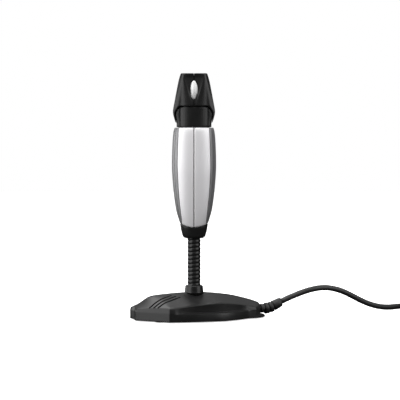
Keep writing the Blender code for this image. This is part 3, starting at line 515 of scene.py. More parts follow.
def bright_cap():
    made, tree, shader = new_material("bright_insert", (0.6, 0.6, 0.6), 0.16)
    broad = object_noise(tree, 120.0, 3.0)
    tint(tree, shader, broad, (0.58, 0.58, 0.58), (0.64, 0.64, 0.64))
    vary(tree, shader, broad, "Roughness", 0.14, 0.22)
    return made


def metal(name, colour, roughness, stretch=(1.0, 1.0, 14.0)):
    made, tree, shader = new_material(name, colour, roughness, metallic=1.0)
    brush = object_noise(tree, 900.0, 3.0, stretch)
    tint(tree, shader, brush, tuple(0.88 * c for c in colour), tuple(min(1.0, 1.06 * c) for c in colour))
    vary(tree, shader, brush, "Roughness", roughness * 0.8, roughness * 1.25)
    grain(tree, shader, brush, 0.05, 0.00002)
    return made


def foam():
    made, tree, shader = new_material("open_foam", (0.02, 0.02, 0.02), 0.95, specular=0.2)
    cells = tree.nodes.new("ShaderNodeTexVoronoi")
    cells.inputs["Scale"].default_value = 1800.0
    place = tree.nodes.new("ShaderNodeTexCoord")
    tree.links.new(place.outputs["Object"], cells.inputs["Vector"])
    tint(tree, shader, cells.outputs["Distance"], (0.008,) * 3, (0.04,) * 3)
    grain(tree, shader, cells.outputs["Distance"], 0.8, 0.0003)
    return made


# ---- the base


def half_width(x):
    """Half the width of the base's outline at a distance from the neck."""
    line = [point for run in OUTLINE for point in run]
    for (x0, y0), (x1, y1) in zip(line[1:], line[2:]):
        if x0 < x1 and x0 <= x <= x1:
            return y0 + (y1 - y0) * (x - x0) / (x1 - x0)
    return OUTLINE[0][1][1] if x < 0 else 0.5


def top_height(x, y):
    """Height of the base's tent-like top."""
    share = min(1.0, abs(y) / max(half_width(x), 4.0))
    fall = math.hypot(share, RIDGE_ROUND) - RIDGE_ROUND
    fall /= math.hypot(1.0, RIDGE_ROUND) - RIDGE_ROUND
    wall = through(WALL, x)
    saddle = SADDLE_DEEP * max(0.0, 1 - (x / SADDLE_LONG) ** 2) ** 2 * min(1.0, abs(y) / SEAT_WIDE) ** 2
    return wall + (through(RIDGE, x) - wall) * (1 - fall) - saddle * (1 - share)


def scoop(x):
    if not SCOOP_FROM < x < SCOOP_TO:
        return 0.0
    return math.sin(math.pi * (x - SCOOP_FROM) / (SCOOP_TO - SCOOP_FROM)) ** 0.6


def outline():
    """The whole outline, finely divided, with the direction from each point in towards the spine."""
    half = []
    for run in OUTLINE:
        points = curve_through([(x, y, 0.0) for x, y in run], OUTLINE_STEP)
        if half:
            half.pop()
            corner = points[0]
            before = half.pop()
            after = points[1]
            blunt = corner.lerp(before, 0.1).lerp(corner.lerp(after, 0.1), 0.5)
            half += [before, corner.lerp(before, 0.28), blunt, corner.lerp(after, 0.28)]
            half += points[1:]
        else:
            half = points
    whole = half + [Vector((p.x, -p.y, 0.0)) for p in reversed(half[1:-1])]
    return whole, [(Vector((SPINE_SHARE * p.x, 0.0, 0.0)) - p).normalized() for p in whole]


def lifted(point, z):
    return Vector((point.x, point.y, z))


def base_column(point, inward):
    """Outer and inner points of the cover, from its lower edge in to the neck's opening."""
    sunk = SCOOP_DEEP * scoop(point.x)
    tail = min(1.0, max(0.0, (point.x - TAIL_X) / TAIL_LONG))
    lean = TAIL_LEAN * tail
    angle = math.atan2(point.y, point.x)
    seat = Vector((SEAT_LONG * math.cos(angle), SEAT_WIDE * math.sin(angle), 0.0))
    ledge = point + inward * (sunk + lean)
    arch = point + inward * (0.55 * sunk + lean + 0.5)
    edge = arch + inward * BEVEL
    edge_z = top_height(edge.x, edge.y)
    first = edge.lerp(seat, 1 / TOP_ROWS)
    outer = eased([
        lifted(point + inward * SHELL_THICK * 0.5, FOOT_Z),
        lifted(point, FOOT_Z),
        lifted(point, LIP_Z),
        lifted(point + inward * 0.95 * lean, LEDGE_Z + (STEP_Z - LEDGE_Z) * tail),
        lifted(ledge, LEDGE_Z + 0.5),
        lifted(arch, edge_z - 0.9),
        lifted(edge, edge_z),
        lifted(first, top_height(first.x, first.y)),
    ], 0.42)
    inner = eased([
        lifted(point + inward * (SHELL_THICK * 0.6 + lean), FOOT_Z + 0.05),
        lifted(point + inward * (SHELL_THICK + lean), FOOT_Z + 0.1),
        lifted(point + inward * (SHELL_THICK + lean), 3.1),
        lifted(point + inward * (SHELL_THICK + lean), LEDGE_Z - SHELL_THICK),
        lifted(ledge + inward * SHELL_THICK, LEDGE_Z - SHELL_THICK + 0.4),
        lifted(arch + inward * SHELL_THICK, edge_z - 2.1),
        lifted(edge + inward * SHELL_THICK, edge_z - SHELL_THICK),
        lifted(first + inward * SHELL_THICK, top_height(first.x, first.y) - SHELL_THICK),
    ], 0.42)
    for k in range(2, TOP_ROWS + 1):
        share = k / TOP_ROWS
        place = edge.lerp(seat, share)
        height = top_height(place.x, place.y)
        outer.append(lifted(place, height))
        inner.append(lifted((edge + inward * SHELL_THICK).lerp(seat, share), height - SHELL_THICK))
    return outer, inner


def slot_ring(reach, half):
    """The outline of a slot with round ends, whose centres stand this far from its middle."""
    turns = [math.pi * (k / 6 - 0.5) for k in range(7)]
    ring = [(reach + half * math.cos(turn), half * math.sin(turn)) for turn in turns]
    return ring + [(-x, -y) for x, y in ring]


def slot_tool(side, k):
    """One slanting vent slot with round ends."""
    ring = slot_ring(SLOT_LONG / 2 - SLOT_WIDE / 2, SLOT_WIDE / 2)
    shape = rings_solid([[(x, y, z) for x, y in ring] for z in (6.0, 26.0)])
    turn = Matrix.Rotation(-side * SLOT_ANGLE, 3, "Z")
    bmesh.ops.rotate(shape, cent=(0, 0, 0), matrix=turn, verts=shape.verts)
    middle = (SLOT_MIDDLE[0] + k * SLOT_STEP[0], side * (SLOT_MIDDLE[1] + k * SLOT_STEP[1]), 0.0)
    bmesh.ops.translate(shape, vec=middle, verts=shape.verts)
    return new_object(f"slot_tool_{side}_{k}", shape, SATIN)


def groove_tool():
    rings = []
    count = 14
    for k in range(count + 1):
        x = GROOVE_FROM + (GROOVE_TO - GROOVE_FROM) * k / count
        low = top_height(x, 0.0) - GROOVE_DEEP
        wide = GROOVE_WIDE / 2
        rings.append([(x, -wide * 0.4, low), (x, wide * 0.4, low), (x, wide, low + 0.5), (x, wide, low + 4),
                      (x, -wide, low + 4), (x, -wide, low + 0.5)])
    return new_object("groove_tool", rings_solid(rings), SATIN)


def make_base_cover():
    whole, inward = outline()
    columns = [base_column(p, n) for p, n in zip(whole, inward)]
    outer = [list(row) for row in zip(*(c[0] for c in columns))]
    inner = [list(row) for row in zip(*(c[1] for c in columns))]
    cover = new_object("base_cover", slab(outer, inner, True), SATIN, sharp=28.0)
    tools = [slot_tool(side, k) for side in (-1, 1) for k in range(SLOT_COUNT)]
    hole = turned([(CABLE_HOLE, 0.0), (CABLE_HOLE, 12.0)], 32)
    bmesh.ops.rotate(hole, cent=(0, 0, 0), matrix=Matrix.Rotation(math.pi / 2, 3, "Y"), verts=hole.verts)
    bmesh.ops.translate(hole, vec=(46.0, 0.0, RELIEF_PATH[0][1]), verts=hole.verts)
    tools += [groove_tool(), new_object("cable_hole_tool", hole, SATIN)]
    carve(cover, tools)
    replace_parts(on_base(cover), "base_top_shell")


def make_ferrule():
    profile = eased([(radius, 0.0, height) for radius, height in FERRULE], 0.25)
    ferrule = new_object("ferrule", turned([(p.x, p.z) for p in profile], 64, True), SATIN, sharp=50.0)
    on_base(ferrule)
    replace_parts(ferrule, "neck_ferrule")


def neck_radius(angle, z):
    """The wound neck: a round rib that climbs one pitch in each turn."""
    phase = (z - NECK_LOW) / PITCH - angle / (2 * math.pi)
    wave = abs(math.sin(math.pi * phase)) ** 0.75
    return RIB_IN + (RIB_OUT - RIB_IN) * wave


def neck_ring(radii, angles, z):
    return [(r * math.cos(a) + STEM_X, r * math.sin(a), z) for r, a in zip(radii, angles)]


def make_neck():
    """Thirteen lengths of one wound tube, cut half way up each turn."""
    cuts = [NECK_LOW - 0.4] + [NECK_LOW + (k + 0.5) * PITCH for k in range(TURNS)] + [NECK_HIGH + 0.5]
    angles = [2 * math.pi * k / NECK_COLUMNS for k in range(NECK_COLUMNS)]
    for k in range(TURNS + 1):
        low, high = cuts[k], cuts[k + 1]
        rows = max(6, round(NECK_ROWS * (high - low) / PITCH))
        outer = []
        inner = []
        for row in range(rows + 1):
            z = low + (high - low) * row / rows
            outer.append(neck_ring([neck_radius(angle, z) for angle in angles], angles, z))
            inner.append(neck_ring([NECK_BORE] * NECK_COLUMNS, angles, z))
        piece = new_object(f"gooseneck_{k + 1:02d}", slab(outer, inner, True), NECK_BLACK, sharp=60.0)
        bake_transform(piece)
        if k < TURNS:
            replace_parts(piece, f"gooseneck_turn_{k + 1:02d}")


# ---- the microphone


def power(value, exponent):
    return math.copysign(abs(value) ** exponent, value)


def body_point(angle, z, inset, end):
    long = through(BODY_WIDE, z) - inset
    deep = BODY_FLAT * through(BODY_WIDE, z) + 0.4 - inset
    return Vector((end * long * power(math.cos(angle), 2 / BODY_POWER),
                   deep * power(math.sin(angle), 2 / BODY_POWER), z))


def angle_of(share):
    """The angle on a section where its distance from the seam is this share of the half width."""
    return math.acos(min(0.985, max(0.0, share)) ** (BODY_POWER / 2))


def bowed(z, u):
    fade = max(0.0, 1 - (z - BODY_LOW) / 12.0)
    return z + fade * BODY_BOW * min(1.6, (u / 9.2) ** 2)


def body_rows():
    """Heights up the body with a little rounding at both ends: (height, inset)."""
    rows = [(BODY_LOW, 0.35), (BODY_LOW + 0.1, 0.12), (BODY_LOW + 0.35, 0.0)]
    for k in range(1, BODY_ROWS):
        rows.append((BODY_LOW + 0.35 + (BODY_TOP - BODY_LOW - 0.7) * k / BODY_ROWS, 0.0))
    return rows + [(BODY_TOP - 0.35, 0.0), (BODY_TOP - 0.1, 0.12), (BODY_TOP, 0.35)]


def make_half_shell(name, node, end):
    outer = []
    inner = []
    quarter = math.pi / 2
    for z, soft in body_rows():
        wide = through(BODY_WIDE, z)
        edge = angle_of(through(BODY_EDGE, z) / wide)
        near = angle_of(0.6 / wide)
        steps = [(quarter, 1.2, 0.03), (quarter, 0.8, 0.2), (quarter, 0.25, 0.34), (near, 0.0, 0.0)]
        steps += [(near + (edge + 0.012 - near) * k / 22, 0.0, 0.0) for k in range(1, 23)]
        steps += [(edge + 0.003, 0.08, 0.0), (edge, 0.3, 0.0), (edge, PANEL_SINK, 0.0)]
        steps += [(edge * (1 - k / 4), PANEL_SINK, 0.0) for k in range(1, 4)]
        steps += [(0.0, PANEL_SINK, 0.0)] + [(-a, i, s) for a, i, s in reversed(steps)]
        outer_row = []
        inner_row = []
        for angle, inset, seam in steps:
            a = body_point(angle, z, inset + soft, end)
            b = body_point(angle, z, BODY_WALL, end)
            if seam:
                a.x = end * seam
                b.x = end * 0.01
            height = bowed(z, body_point(angle, z, 0.0, end).x)
            a.z = height
            b.z = height
            outer_row.append(a)
            inner_row.append(b)
        outer.append(outer_row)
        inner.append(inner_row)
    shell = new_object(name, slab(outer, inner, False), SILVER, sharp=50.0)
    shell.data.materials.append(SEAM)
    for face in shell.data.polygons:
        if abs(face.center.x) < 0.3 * MM:
            face.material_index = 1
    on_mic(shell)
    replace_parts(shell, node)


def make_inlay(name, node, end):
    """An inlay strip with a fine moulded line down each of its sides."""
    width = LINE_WIDE
    outer = []
    inner = []
    for z, soft in body_rows():
        wide = through(BODY_WIDE, z)
        reach = through(BODY_EDGE, z)
        edge = angle_of((reach + 0.32) / wide)
        line = angle_of((reach + LINE_SHARE * (wide - reach)) / wide)
        steps = [(edge, 0.95), (edge, 0.3), (edge - 0.004, 0.08), (edge - 0.012, 0.0)]
        steps += [(edge - 0.012 + (line + width - edge + 0.012) * k / 5, 0.0) for k in range(1, 6)]
        steps += [(line + 0.3 * width, LINE_DEEP), (line - 0.3 * width, LINE_DEEP), (line - width, 0.0)]
        steps += [((line - width) * (1 - k / 9), 0.0) for k in range(1, 9)]
        steps += [(0.0, 0.0)] + [(-a, i) for a, i in reversed(steps)]
        outer_row = []
        inner_row = []
        for angle, inset in steps:
            a = body_point(angle, z, inset + soft, end)
            b = body_point(angle, z, PANEL_SINK - 0.2, end)
            height = bowed(z, body_point(angle, z, 0.0, end).x)
            a.z = height
            b.z = height
            outer_row.append(a)
            inner_row.append(b)
        outer.append(outer_row)
        inner.append(inner_row)
    panel = new_object(name, slab(outer, inner, False), GREY, sharp=50.0)
    on_mic(panel)
    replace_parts(panel, node)


def section_ring(z, inset, count=96, bow=0.0, start=0.0, sense=1):
    ring = []
    for k in range(count):
        p = body_point(start + sense * 2 * math.pi * k / count, z, inset, 1)
        ring.append((p.x, p.y, z + bow * min(1.6, (p.x / 9.2) ** 2)))
    return ring


def make_boot():
    low = BOOT_LOW
    top = BODY_LOW - GAP
    wall = low + BOOT_ROUND
    rings = [circle(BOOT_BORE, low + 0.2, 96), circle(BOOT_BORE + 0.25, low, 96), section_ring(low, 2.2)]
    for k in range(9):
        a = math.pi / 2 * k / 8
        rings.append(section_ring(low + BOOT_ROUND * (1 - math.cos(a)), 1.3 * (1 - math.sin(a))))
    for k in range(1, 9):
        z = wall + (top - 0.3 - wall) * k / 8
        rings.append(section_ring(z, 0.0, bow=BODY_BOW * (k / 8) ** 2))
    for z, inset in ((top - 0.08, 0.1), (top, 0.3), (top, 1.9)):
        rings.append(section_ring(z, inset, bow=BODY_BOW))
    rings += [section_ring(low + 3.0, 1.9), circle(BOOT_BORE, low + 2.4, 96)]
    boot = new_object("boot", rings_solid(rings, True), SATIN, sharp=50.0)
    on_mic(boot)
    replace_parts(boot, "lower_boot")


def collar_line(z, inset, soft):
    """Half of a collar section, from one side over the rear end to the other."""
    deep = COLLAR_DEEP - inset - soft
    long = through(COLLAR_WIDE, z) - inset - soft
    lobe = deep - 2.0
    pad = COLLAR_PAD * (1 - inset / COLLAR_WIDE[0][1]) - soft
    quarter = [(u, deep - COLLAR_CROWN * (u / COLLAR_PAD) ** 2, 0.0) for u in (0.0, 1.6, 3.2, 4.8, 6.4, 7.9)]
    quarter += [
        (pad - 0.05, deep - COLLAR_CROWN, 0.0), (pad, lobe - 0.6, 0.0),
        (pad + 0.25 * (long - pad), lobe - 0.7, 0.0), (long - 0.8, 0.82 * lobe, 0.0),
        (long - 0.25, 0.72 * lobe, 0.0), (long - 0.05, 0.5 * lobe, 0.0), (long, 0.25 * lobe, 0.0),
        (long, 0.0, 0.0),
    ]
    half = eased(quarter, 0.3)
    return half + [Vector((p.x, -p.y, 0.0)) for p in reversed(half[:-1])]


def collar_ring(z, inset=0.0, soft=0.0):
    half = collar_line(z, inset, soft)
    ring = half + [Vector((-p.x, p.y, 0.0)) for p in reversed(half[1:-1])]
    return [(p.x, p.y, z) for p in ring]


def make_collar():
    count = len(collar_ring(0.0))

    def spigot(z, inset):
        return section_ring(z, BODY_WALL + inset, count, 0.0, math.pi / 2, -1)

    foot = COLLAR_LOW + 0.3
    rise = COLLAR_HIGH - 0.3 - foot
    rings = [spigot(SPIGOT_LOW, GAP), spigot(COLLAR_LOW, GAP), collar_ring(COLLAR_LOW, 0.0, 0.3),
             collar_ring(COLLAR_LOW + 0.08, 0.0, 0.1), collar_ring(foot)]
    rings += [collar_ring(foot + rise * k / 10) for k in range(1, 11)]
    rings += [collar_ring(COLLAR_HIGH, 0.0, 0.25), collar_ring(COLLAR_HIGH, 2.2),
              collar_ring(SPIGOT_HIGH, 2.2), collar_ring(SPIGOT_HIGH, 3.6), spigot(SPIGOT_LOW, 1.8)]
    collar = new_object("collar_ring", rings_solid(rings, True), SATIN, sharp=50.0)
    on_mic(collar)
    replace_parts(collar, "collar")


def channel_wide(z):
    """Half width of the kite-shaped channel in a side face."""
    rise = min(1.0, max(0.0, (z - CHANNEL_LOW) / CHANNEL_RISE))
    return CHANNEL_NARROW + CHANNEL_FLARE * rise


def head_quarter(z, inset, sunk):
    """A quarter of a head section from the seam to the middle of the end face."""
    long = through(HEAD_WIDE, z) - inset
    deep = through(HEAD_DEEP, z) - inset
    face = through(HEAD_FACE, z) - 0.6 * inset
    channel = min(channel_wide(z), face - 0.7)
    drop = FACET_SLOPE * (face - channel)
    sunk *= min(1.0, (HEAD_TOP - z) / 3.0) * min(1.0, max(0.3, (z - 154.0) / 9.0))
    end_half = 0.62 * deep
    points = [(0.08, deep - sunk - 0.5), (0.32, deep - sunk)]
    for k in range(1, CHANNEL_STEPS + 1):
        u = 0.5 + (channel - 0.5) * k / CHANNEL_STEPS
        points.append((u, deep - sunk * (1 - (u / channel) ** 2)))
    for k in range(1, FACET_STEPS + 1):
        share = k / FACET_STEPS
        points.append((channel + (face - channel) * share, deep - drop * share ** 1.8))
    for k in range(1, CHAMFER_STEPS + 1):
        share = k / CHAMFER_STEPS
        out = CHAMFER_BULGE * math.sin(math.pi * share)
        points.append((face + (long - face) * share + 0.6 * out * (1 - share),
                       deep - drop + (end_half - deep + drop) * share + out))
    for k in range(1, END_STEPS + 1):
        points.append((long, end_half * (1 - k / END_STEPS)))
    return points


def head_low(index):
    """Height of the head's lower edge at a point of a quarter section."""
    start = SEAM_STEPS + CHANNEL_STEPS + FACET_STEPS
    share = min(1.0, max(0.0, (index - start + 1) / CHAMFER_STEPS))
    return CHEEK_LOW + (HEAD_EDGE - CHEEK_LOW) * math.sqrt(max(0.0, 1 - share ** 2))


def head_row(share, inset, sunk, end, soft=0.0, roof=HEAD_TOP):
    """A level line of points round one half of the head, a share of the way up."""
    count = SEAM_STEPS + CHANNEL_STEPS + FACET_STEPS + CHAMFER_STEPS + END_STEPS
    quarter = []
    for index in range(count):
        low = head_low(index)
        z = min(roof, low + (HEAD_TOP - low) * share)
        thin = 1.0 if not inset else 0.58 + 0.42 * min(1.0, max(0.0, (z - HEAD_EDGE) / 4.0))
        u, v = head_quarter(z, inset * thin + soft, sunk)[index]
        if inset and z < COLLAR_HIGH and index > SKIRT_CLEAR:
            u = max(u, through(COLLAR_WIDE, z) + 0.15)
        quarter.append(Vector((end * (0.01 if inset and index == 0 else u), v, z)))
    return quarter + [Vector((p.x, -p.y, p.z)) for p in reversed(quarter[:-1])]


def make_head_half(name, node, end):
    rows = [(0.0, 0.3), (0.006, 0.1), (0.016, 0.0)] + [(0.016 + 0.954 * k / 30, 0.0) for k in range(1, 31)]
    rows += [(0.984, 0.06), (0.995, 0.22)]
    inner_roof = HEAD_TOP - 1.1 * HEAD_WALL
    outer = [head_row(share, 0.0, CHANNEL_DEEP, end, soft) for share, soft in rows]
    inner = [head_row(share, HEAD_WALL, 0.0, end, 0.0, inner_roof) for share, soft in rows]
    rim = head_row(1.0, 0.0, 0.0, end, 0.45)
    rim_inside = head_row(1.0, HEAD_WALL + 0.2, 0.0, end, 0.0, inner_roof)
    for reach in (20.0, 6.0, 3.0, 0.9, 0.5, 0.05):
        outer_row = []
        inner_row = []
        for a, b in zip(rim, rim_inside):
            u = min(reach, abs(a.x))
            drop = NOTCH_DEEP * max(0.0, 1 - (u - 0.05) / 0.85)
            outer_row.append(Vector((end * u, a.y, HEAD_TOP - drop)))
            inner_row.append(Vector((end * min(reach, abs(b.x)), b.y, inner_roof)))
        outer.append(outer_row)
        inner.append(inner_row)
    head = new_object(name, slab(outer, inner, False), HEAD_BLACK, sharp=30.0)
    tools = [oval_tool(side) for side in (-1, 1)]
    if end < 0:
        wide = GRILLE_WIDE + GRILLE_GAP
        tall = GRILLE_TALL + GRILLE_GAP
        tool = new_object("grille_tool", box((-4, -wide, -tall), (4, wide, tall)), SATIN)
        tool.matrix_world = grille_place()
        tools.append(tool)
    carve(head, tools)
    on_mic(head)
    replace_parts(head, node)


def oval(long, tall, v):
    """An upright oval round the insert's middle, in a plane parallel to the side face."""
    return [(x, v, INSERT_Z + tall / long * y) for x, y, _ in circle(long, 0.0, OVAL_POINTS)]


def oval_tool(side):
    out = through(HEAD_DEEP, INSERT_Z)
    long = INSERT_LONG + INSERT_GAP
    tall = INSERT_TALL + INSERT_GAP
    rings = [oval(long, tall, side * v) for v in (out - 5.2, out + 3.0)]
    return new_object(f"oval_tool_{side}", rings_solid(rings), SATIN)


def make_insert(name, node, side):
    """A bright oval with a low crown along its middle."""
    out = through(HEAD_DEEP, INSERT_Z)
    profile = [(INSERT_BACK, 1.0), (INSERT_EDGE, 1.0)]
    for k in range(1, INSERT_STEPS + 1):
        share = k / (INSERT_STEPS + 0.5)
        profile.append((INSERT_EDGE + INSERT_CROWN * math.sin(math.pi / 2 * share), 1 - share))
    rings = []
    for proud, scale in profile:
        rings.append(oval(INSERT_LONG * scale, INSERT_TALL * scale, side * (out + proud)))
    insert = new_object(name, rings_solid(rings), BRIGHT, sharp=50.0)
    on_mic(insert)
    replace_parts(insert, node)


def grille_place():
    u = -through(HEAD_WIDE, GRILLE_Z)
    return Matrix.Translation((u * MM, 0.0, GRILLE_Z * MM)) @ Matrix.Rotation(FACE_SLOPE, 4, "Y")


def make_grille():
    """A plate with rounded slots, set flush in the head's front face."""
    low = GRILLE_SINK
    plate = box((low, -GRILLE_WIDE, -GRILLE_TALL), (low + GRILLE_THICK, GRILLE_WIDE, GRILLE_TALL))
    grille = new_object("head_grille", plate, MATT)
    ring = slot_ring(3.1, 0.6)
    step = 2 * GRILLE_TALL / (GRILLE_SLOTS + 1)
    tools = []
    for k in range(GRILLE_SLOTS):
        z = -GRILLE_TALL + (k + 1) * step
        rings = [[(x, y, z + h) for y, h in ring] for x in (-3, 5)]
        tools.append(new_object(f"grille_slot_{k}", rings_solid(rings), MATT))
    carve(grille, tools)
    soften(grille, 0.15)
    on_mic(grille, grille_place())
    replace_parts(grille, "grille")


# ---- the cable


def make_relief():
    """The moulded boot on the cable: a flange and ribs, with grooves between them."""
    stations = list(RELIEF_FOOT)
    for low, high, radius, slimmer in RELIEF_RIBS:
        stations += [(low - 0.5, RELIEF_GROOVE), (low - 0.1, RELIEF_GROOVE),
                     (low, radius - 0.35), (low + 0.12, radius - 0.1),
                     (low + 0.4, radius), (high - 0.4, slimmer), (high - 0.12, slimmer - 0.1),
                     (high, slimmer - 0.35)]
    stations += RELIEF_END
    rings = []
    side = Vector((0.0, 1.0, 0.0))
    for place, radius in stations:
        ahead = through(RELIEF_PATH, place + 1) - through(RELIEF_PATH, place - 1)
        up = Vector((2.0, 0.0, ahead)).normalized().cross(side)
        centre = Vector((place, 0.0, through(RELIEF_PATH, place)))
        rings.append([centre + side * x + up * y for x, y, _ in circle(radius, 0.0, 40)])
    relief = new_object("relief_boot", rings_solid(rings), RUBBER, sharp=45.0)
    on_base(relief)
    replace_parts(relief, "strain_relief")
    return relief


def coil_points():
    """The coil's turns, layer on layer, and the lead up to the plug; millimetres from the neck."""
    found = []
    spacing = CABLE / MM
    inner = COIL_OUTER_TURN - COIL_SPIRAL * spacing
    layer_turns = COIL_SPIRAL + COIL_CLIMB
    total = 3 * COIL_SPIRAL + 2 * COIL_CLIMB - 0.17
    count = round(total * COIL_POINTS)
    base_z = COIL_LIFT + spacing / 2
    for k in range(1, count + 1):
        turn = total * k / count
        layer = min(2, int(turn / layer_turns))
        within = turn - layer * layer_turns
        share = min(1.0, within / COIL_SPIRAL)
        climb = min(1.0, max(0.0, (within - COIL_SPIRAL) / COIL_CLIMB))
        climb = climb * climb * (3 - 2 * climb)
        radius = COIL_OUTER_TURN + (inner - COIL_OUTER_TURN) * (share if layer % 2 == 0 else 1 - share)
        lead = max(0.0, (turn - total + 0.24) / 0.24)
        lead = lead * lead * (3 - 2 * lead)
        radius += (PLUG_SIDE - radius) * lead
        z = base_z + spacing * (layer + climb) + (PLUG_HIGH - base_z - 2 * spacing) * lead
        angle = COIL_START - 2 * math.pi * turn
        found.append((COIL_X + radius * math.cos(angle), radius * math.sin(angle), z))
    return found


def make_cable():
    route = [Vector(p) + Vector((STEM_X * MM, 0, 0)) for p in CABLE_ROUTE]
    approach = COIL_START + 0.28
    first = [(COIL_X + 32.8 * math.cos(approach), 32.8 * math.sin(approach), COIL_LIFT + 2.1),
             (COIL_X + 31.7 * math.cos(COIL_START), 31.7 * math.sin(COIL_START), COIL_LIFT + 2.1)]
    last = [(COIL_X - 8.0, PLUG_SIDE, PLUG_HIGH), (COIL_X - PLUG_BACK - 0.3, PLUG_SIDE, PLUG_HIGH)]
    for x, y, z in first + coil_points() + last:
        route.append(Vector(((x + STEM_X) * MM, y * MM, z * MM)))
    curve = bpy.data.curves.new("cable", "CURVE")
    curve.dimensions = "3D"
    spline = curve.splines.new("BEZIER")
    spline.bezier_points.add(len(route) - 1)
    for point, place in zip(spline.bezier_points, route):
        point.co = place
        point.handle_left_type = "AUTO"
        point.handle_right_type = "AUTO"
    curve.resolution_u = 6
    curve.bevel_depth = CABLE / 2
    curve.bevel_resolution = 5
    curve.use_fill_caps = True
    curve.materials.append(CORD_BLACK)
    cable = bpy.data.objects.new("cable", curve)
    bpy.context.scene.collection.objects.link(cable)
    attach(cable, "base")
    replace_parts(cable, "cable_run", "cable_coil")


def make_plug():
    """The 3.5 mm plug: a ribbed handle, a sleeve with a groove, and a waisted tip."""
    start = Vector((COIL_X - PLUG_BACK + STEM_X, PLUG_SIDE, PLUG_HIGH)) * MM
    place = Matrix.Translation(start) @ Matrix.Rotation(math.pi / 2, 4, "Y")
    end = PLUG_LONG
    wide = PLUG_RADIUS
    slim = JACK_RADIUS - 0.1
    grip = [(2.2, 0.0), (2.7, 0.15), (2.85, 0.6), (3.3, 2.2), (3.75, 4.4), (wide, 5.6)]
    for k in range(6):
        at = 6.2 + 1.5 * k
        grip += [(wide, at), (wide - 0.35, at + 0.2), (wide - 0.35, at + 0.5), (wide, at + 0.7)]
    grip += [(wide, end - 0.5), (wide - 0.15, end - 0.15), (3.4, end)]
    start = end + 0.1
    stop = start + SLEEVE_LONG
    sleeve = [(2.4, start), (2.6, start + 0.15), (2.6, start + 0.7), (2.4, start + 0.8),
              (JACK_RADIUS, start + 0.85), (JACK_RADIUS, start + 6.2), (slim, start + 6.25),
              (slim, start + 6.6), (JACK_RADIUS, start + 6.65), (JACK_RADIUS, stop - 0.05), (slim, stop)]
    tip_from = stop + 0.2
    tip = [(1.65, tip_from), (JACK_RADIUS, tip_from + 0.1), (1.6, tip_from + 0.35), (1.2, tip_from + 0.7),
           (1.2, tip_from + 0.9), (1.6, tip_from + 1.4), (1.45, tip_from + 1.9), (0.9, tip_from + 2.7),
           (0.4, tip_from + TIP_LONG)]
    made = []
    for name, node, profile, finish, slot in (
            ("plug_handle", "plug_grip", grip, RUBBER, "black_rubber"),
            ("jack_sleeve", "plug_sleeve", sleeve, PLUG_METAL, "chrome"),
            ("jack_tip", "plug_tip", tip, PLUG_METAL, "chrome")):
        piece = new_object(name, turned(profile, 40), finish, sharp=35.0)
        piece.matrix_world = place
        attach(piece, "base")
        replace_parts(piece, node)
        made.append(piece)
    return made


# ---- stage


def make_camera():
    forward = Vector((-math.sin(VIEW_TURN), math.cos(VIEW_TURN), 0.0))
    right = Vector((math.cos(VIEW_TURN), math.sin(VIEW_TURN), 0.0))
    data = bpy.data.cameras.new("camera")
    data.lens = LENS
    data.sensor_width = 36.0
    data.clip_end = 20.0
    camera = bpy.data.objects.new("camera", data)
    bpy.context.scene.collection.objects.link(camera)
    neck = Vector((STEM_X * MM, 0.0, 0.0))
    camera.location = neck - forward * VIEW_FAR + right * VIEW_SIDE + Vector((0, 0, VIEW_HIGH))
    camera.rotation_euler = (math.pi / 2 - VIEW_DOWN, 0.0, VIEW_TURN)
    bpy.context.scene.camera = camera


def make_floor():
    """A pale round floor that glows enough to meet the white behind it without a line."""
    shape = bmesh.new()
    bmesh.ops.create_circle(shape, cap_ends=True, segments=96, radius=2500.0)
    bmesh.ops.scale(shape, vec=(MM, MM, MM), verts=shape.verts)
    mesh = bpy.data.meshes.new("floor")
    shape.to_mesh(mesh)
    shape.free()
    made, tree, shader = new_material("pale_floor", (0.9, 0.9, 0.9), 0.65, specular=0.15)
    tint(tree, shader, object_noise(tree, 3.0, 2.0), (0.89,) * 3, (0.91,) * 3)
    shader.inputs["Emission Color"].default_value = (1.0, 1.0, 1.0, 1.0)
    shader.inputs["Emission Strength"].default_value = FLOOR_GLOW
    mesh.materials.append(made)
    floor = bpy.data.objects.new("floor", mesh)
    bpy.context.scene.collection.objects.link(floor)
    floor.visible_diffuse = False
    floor.visible_glossy = False
    floor.visible_shadow = False


def area_light(name, place, aim, wide, tall, power):
    data = bpy.data.lights.new(name, "AREA")
    data.energy = power
    data.shape = "RECTANGLE"
    data.size = wide
    data.size_y = tall
    lamp = bpy.data.objects.new(name, data)
    bpy.context.scene.collection.objects.link(lamp)
    lamp.location = place
    direction = Vector(aim) - Vector(place)
    lamp.rotation_euler = direction.to_track_quat("-Z", "Y").to_euler()


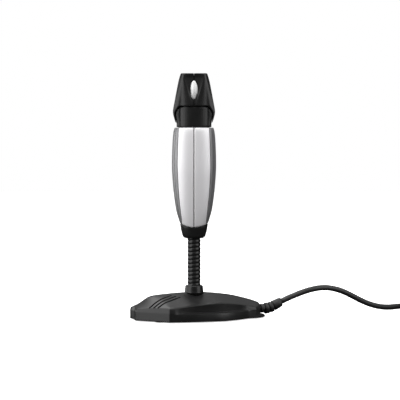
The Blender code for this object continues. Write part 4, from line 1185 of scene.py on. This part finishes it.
def make_world():
    """White behind the object, while its surfaces see a room that is dark low down and lighter overhead."""
    world = bpy.data.worlds.new("studio")
    bpy.context.scene.world = world
    world.use_nodes = True
    tree = world.node_tree
    tree.nodes.clear()
    place = tree.nodes.new("ShaderNodeTexCoord")
    parts = tree.nodes.new("ShaderNodeSeparateXYZ")
    glow = tree.nodes.new("ShaderNodeValToRGB")
    while len(glow.color_ramp.elements) < len(ROOM):
        glow.color_ramp.elements.new(0.5)
    for stop, (height, light) in zip(glow.color_ramp.elements, ROOM):
        stop.position = height
        stop.color = (light, light, light, 1.0)
    room = tree.nodes.new("ShaderNodeBackground")
    white = tree.nodes.new("ShaderNodeBackground")
    white.inputs["Color"].default_value = (1.0, 1.0, 1.0, 1.0)
    path = tree.nodes.new("ShaderNodeLightPath")
    choose = tree.nodes.new("ShaderNodeMixShader")
    out = tree.nodes.new("ShaderNodeOutputWorld")
    tree.links.new(place.outputs["Generated"], parts.inputs["Vector"])
    tree.links.new(parts.outputs["Z"], glow.inputs["Fac"])
    tree.links.new(glow.outputs["Color"], room.inputs["Color"])
    tree.links.new(path.outputs["Is Camera Ray"], choose.inputs["Fac"])
    tree.links.new(room.outputs["Background"], choose.inputs[1])
    tree.links.new(white.outputs["Background"], choose.inputs[2])
    tree.links.new(choose.outputs["Shader"], out.inputs["Surface"])


def from_camera(degrees, far, high):
    """A place round the object, so many degrees to the right of the camera's side."""
    turn = math.radians(degrees)
    towards = Vector((math.sin(VIEW_TURN), -math.cos(VIEW_TURN), 0.0))
    right = Vector((math.cos(VIEW_TURN), math.sin(VIEW_TURN), 0.0))
    return (towards * math.cos(turn) + right * math.sin(turn)) * far + Vector((0.0, 0.0, high))


def make_lights():
    """Soft boxes: tall ones to the front left and right, a low one at the left, two overhead."""
    for name, degrees, far, high, wide, tall, power in LAMPS:
        area_light(name, from_camera(degrees, far, high), (0.0, 0.0, LAMP_AIM), wide, tall, power)
    bpy.context.scene.view_settings.view_transform = "Standard"


def dress(node, finish):
    """Give a CAD node its visible material."""
    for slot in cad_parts[node].material_slots:
        slot.material = finish


SATIN = satin_black()
HEAD_BLACK = satin_black("satin_black_head", 0.3, 0.008)
NECK_BLACK = satin_black("gooseneck_black", 0.3, 0.007)
MATT = matt_black("matt_black_plastic", 0.55, 0.011)
RUBBER = matt_black("black_rubber_moulding", 0.5, 0.009, 2500.0, 0.25)
CORD_BLACK = matt_black("cable_jacket", 0.42, 0.012, 2500.0, 0.15)
SILVER = silver_paint()
GREY = grey_paint()
BRIGHT = bright_cap()
SEAM = matt_black("seam_shadow", 0.8, 0.02)
STEEL = metal("plated_steel", (0.55, 0.55, 0.56), 0.3)
PLUG_METAL = metal("nickel_plug", (0.78, 0.77, 0.74), 0.18)
FOAM = foam()

make_camera()
relief = make_relief()
plug = make_plug()
dress("coil_tie", MATT)
make_cable()
make_floor()
make_world()
make_lights()
make_base_cover()
make_ferrule()
make_neck()
make_boot()
make_half_shell("front_half", "front_shell", -1)
make_half_shell("rear_half", "rear_shell", 1)
make_inlay("front_inlay", "front_panel", -1)
make_inlay("rear_inlay", "rear_panel", 1)
make_collar()
make_head_half("head_front", "head_front_shell", -1)
make_head_half("head_rear", "head_rear_shell", 1)
make_insert("oval_near", "near_insert", -1)
make_insert("oval_far", "far_insert", 1)
make_grille()
dress("base_bottom_plate", MATT)
dress("capsule_grommet", RUBBER)
dress("foam_pad", FOAM)
for node in ("base_weight", "neck_nut", "neck_socket", "capsule"):
    dress(node, STEEL)
for k in (1, 2, 3, 4):
    dress(f"rubber_foot_{k}", RUBBER)
    dress(f"base_screw_{k}", STEEL)
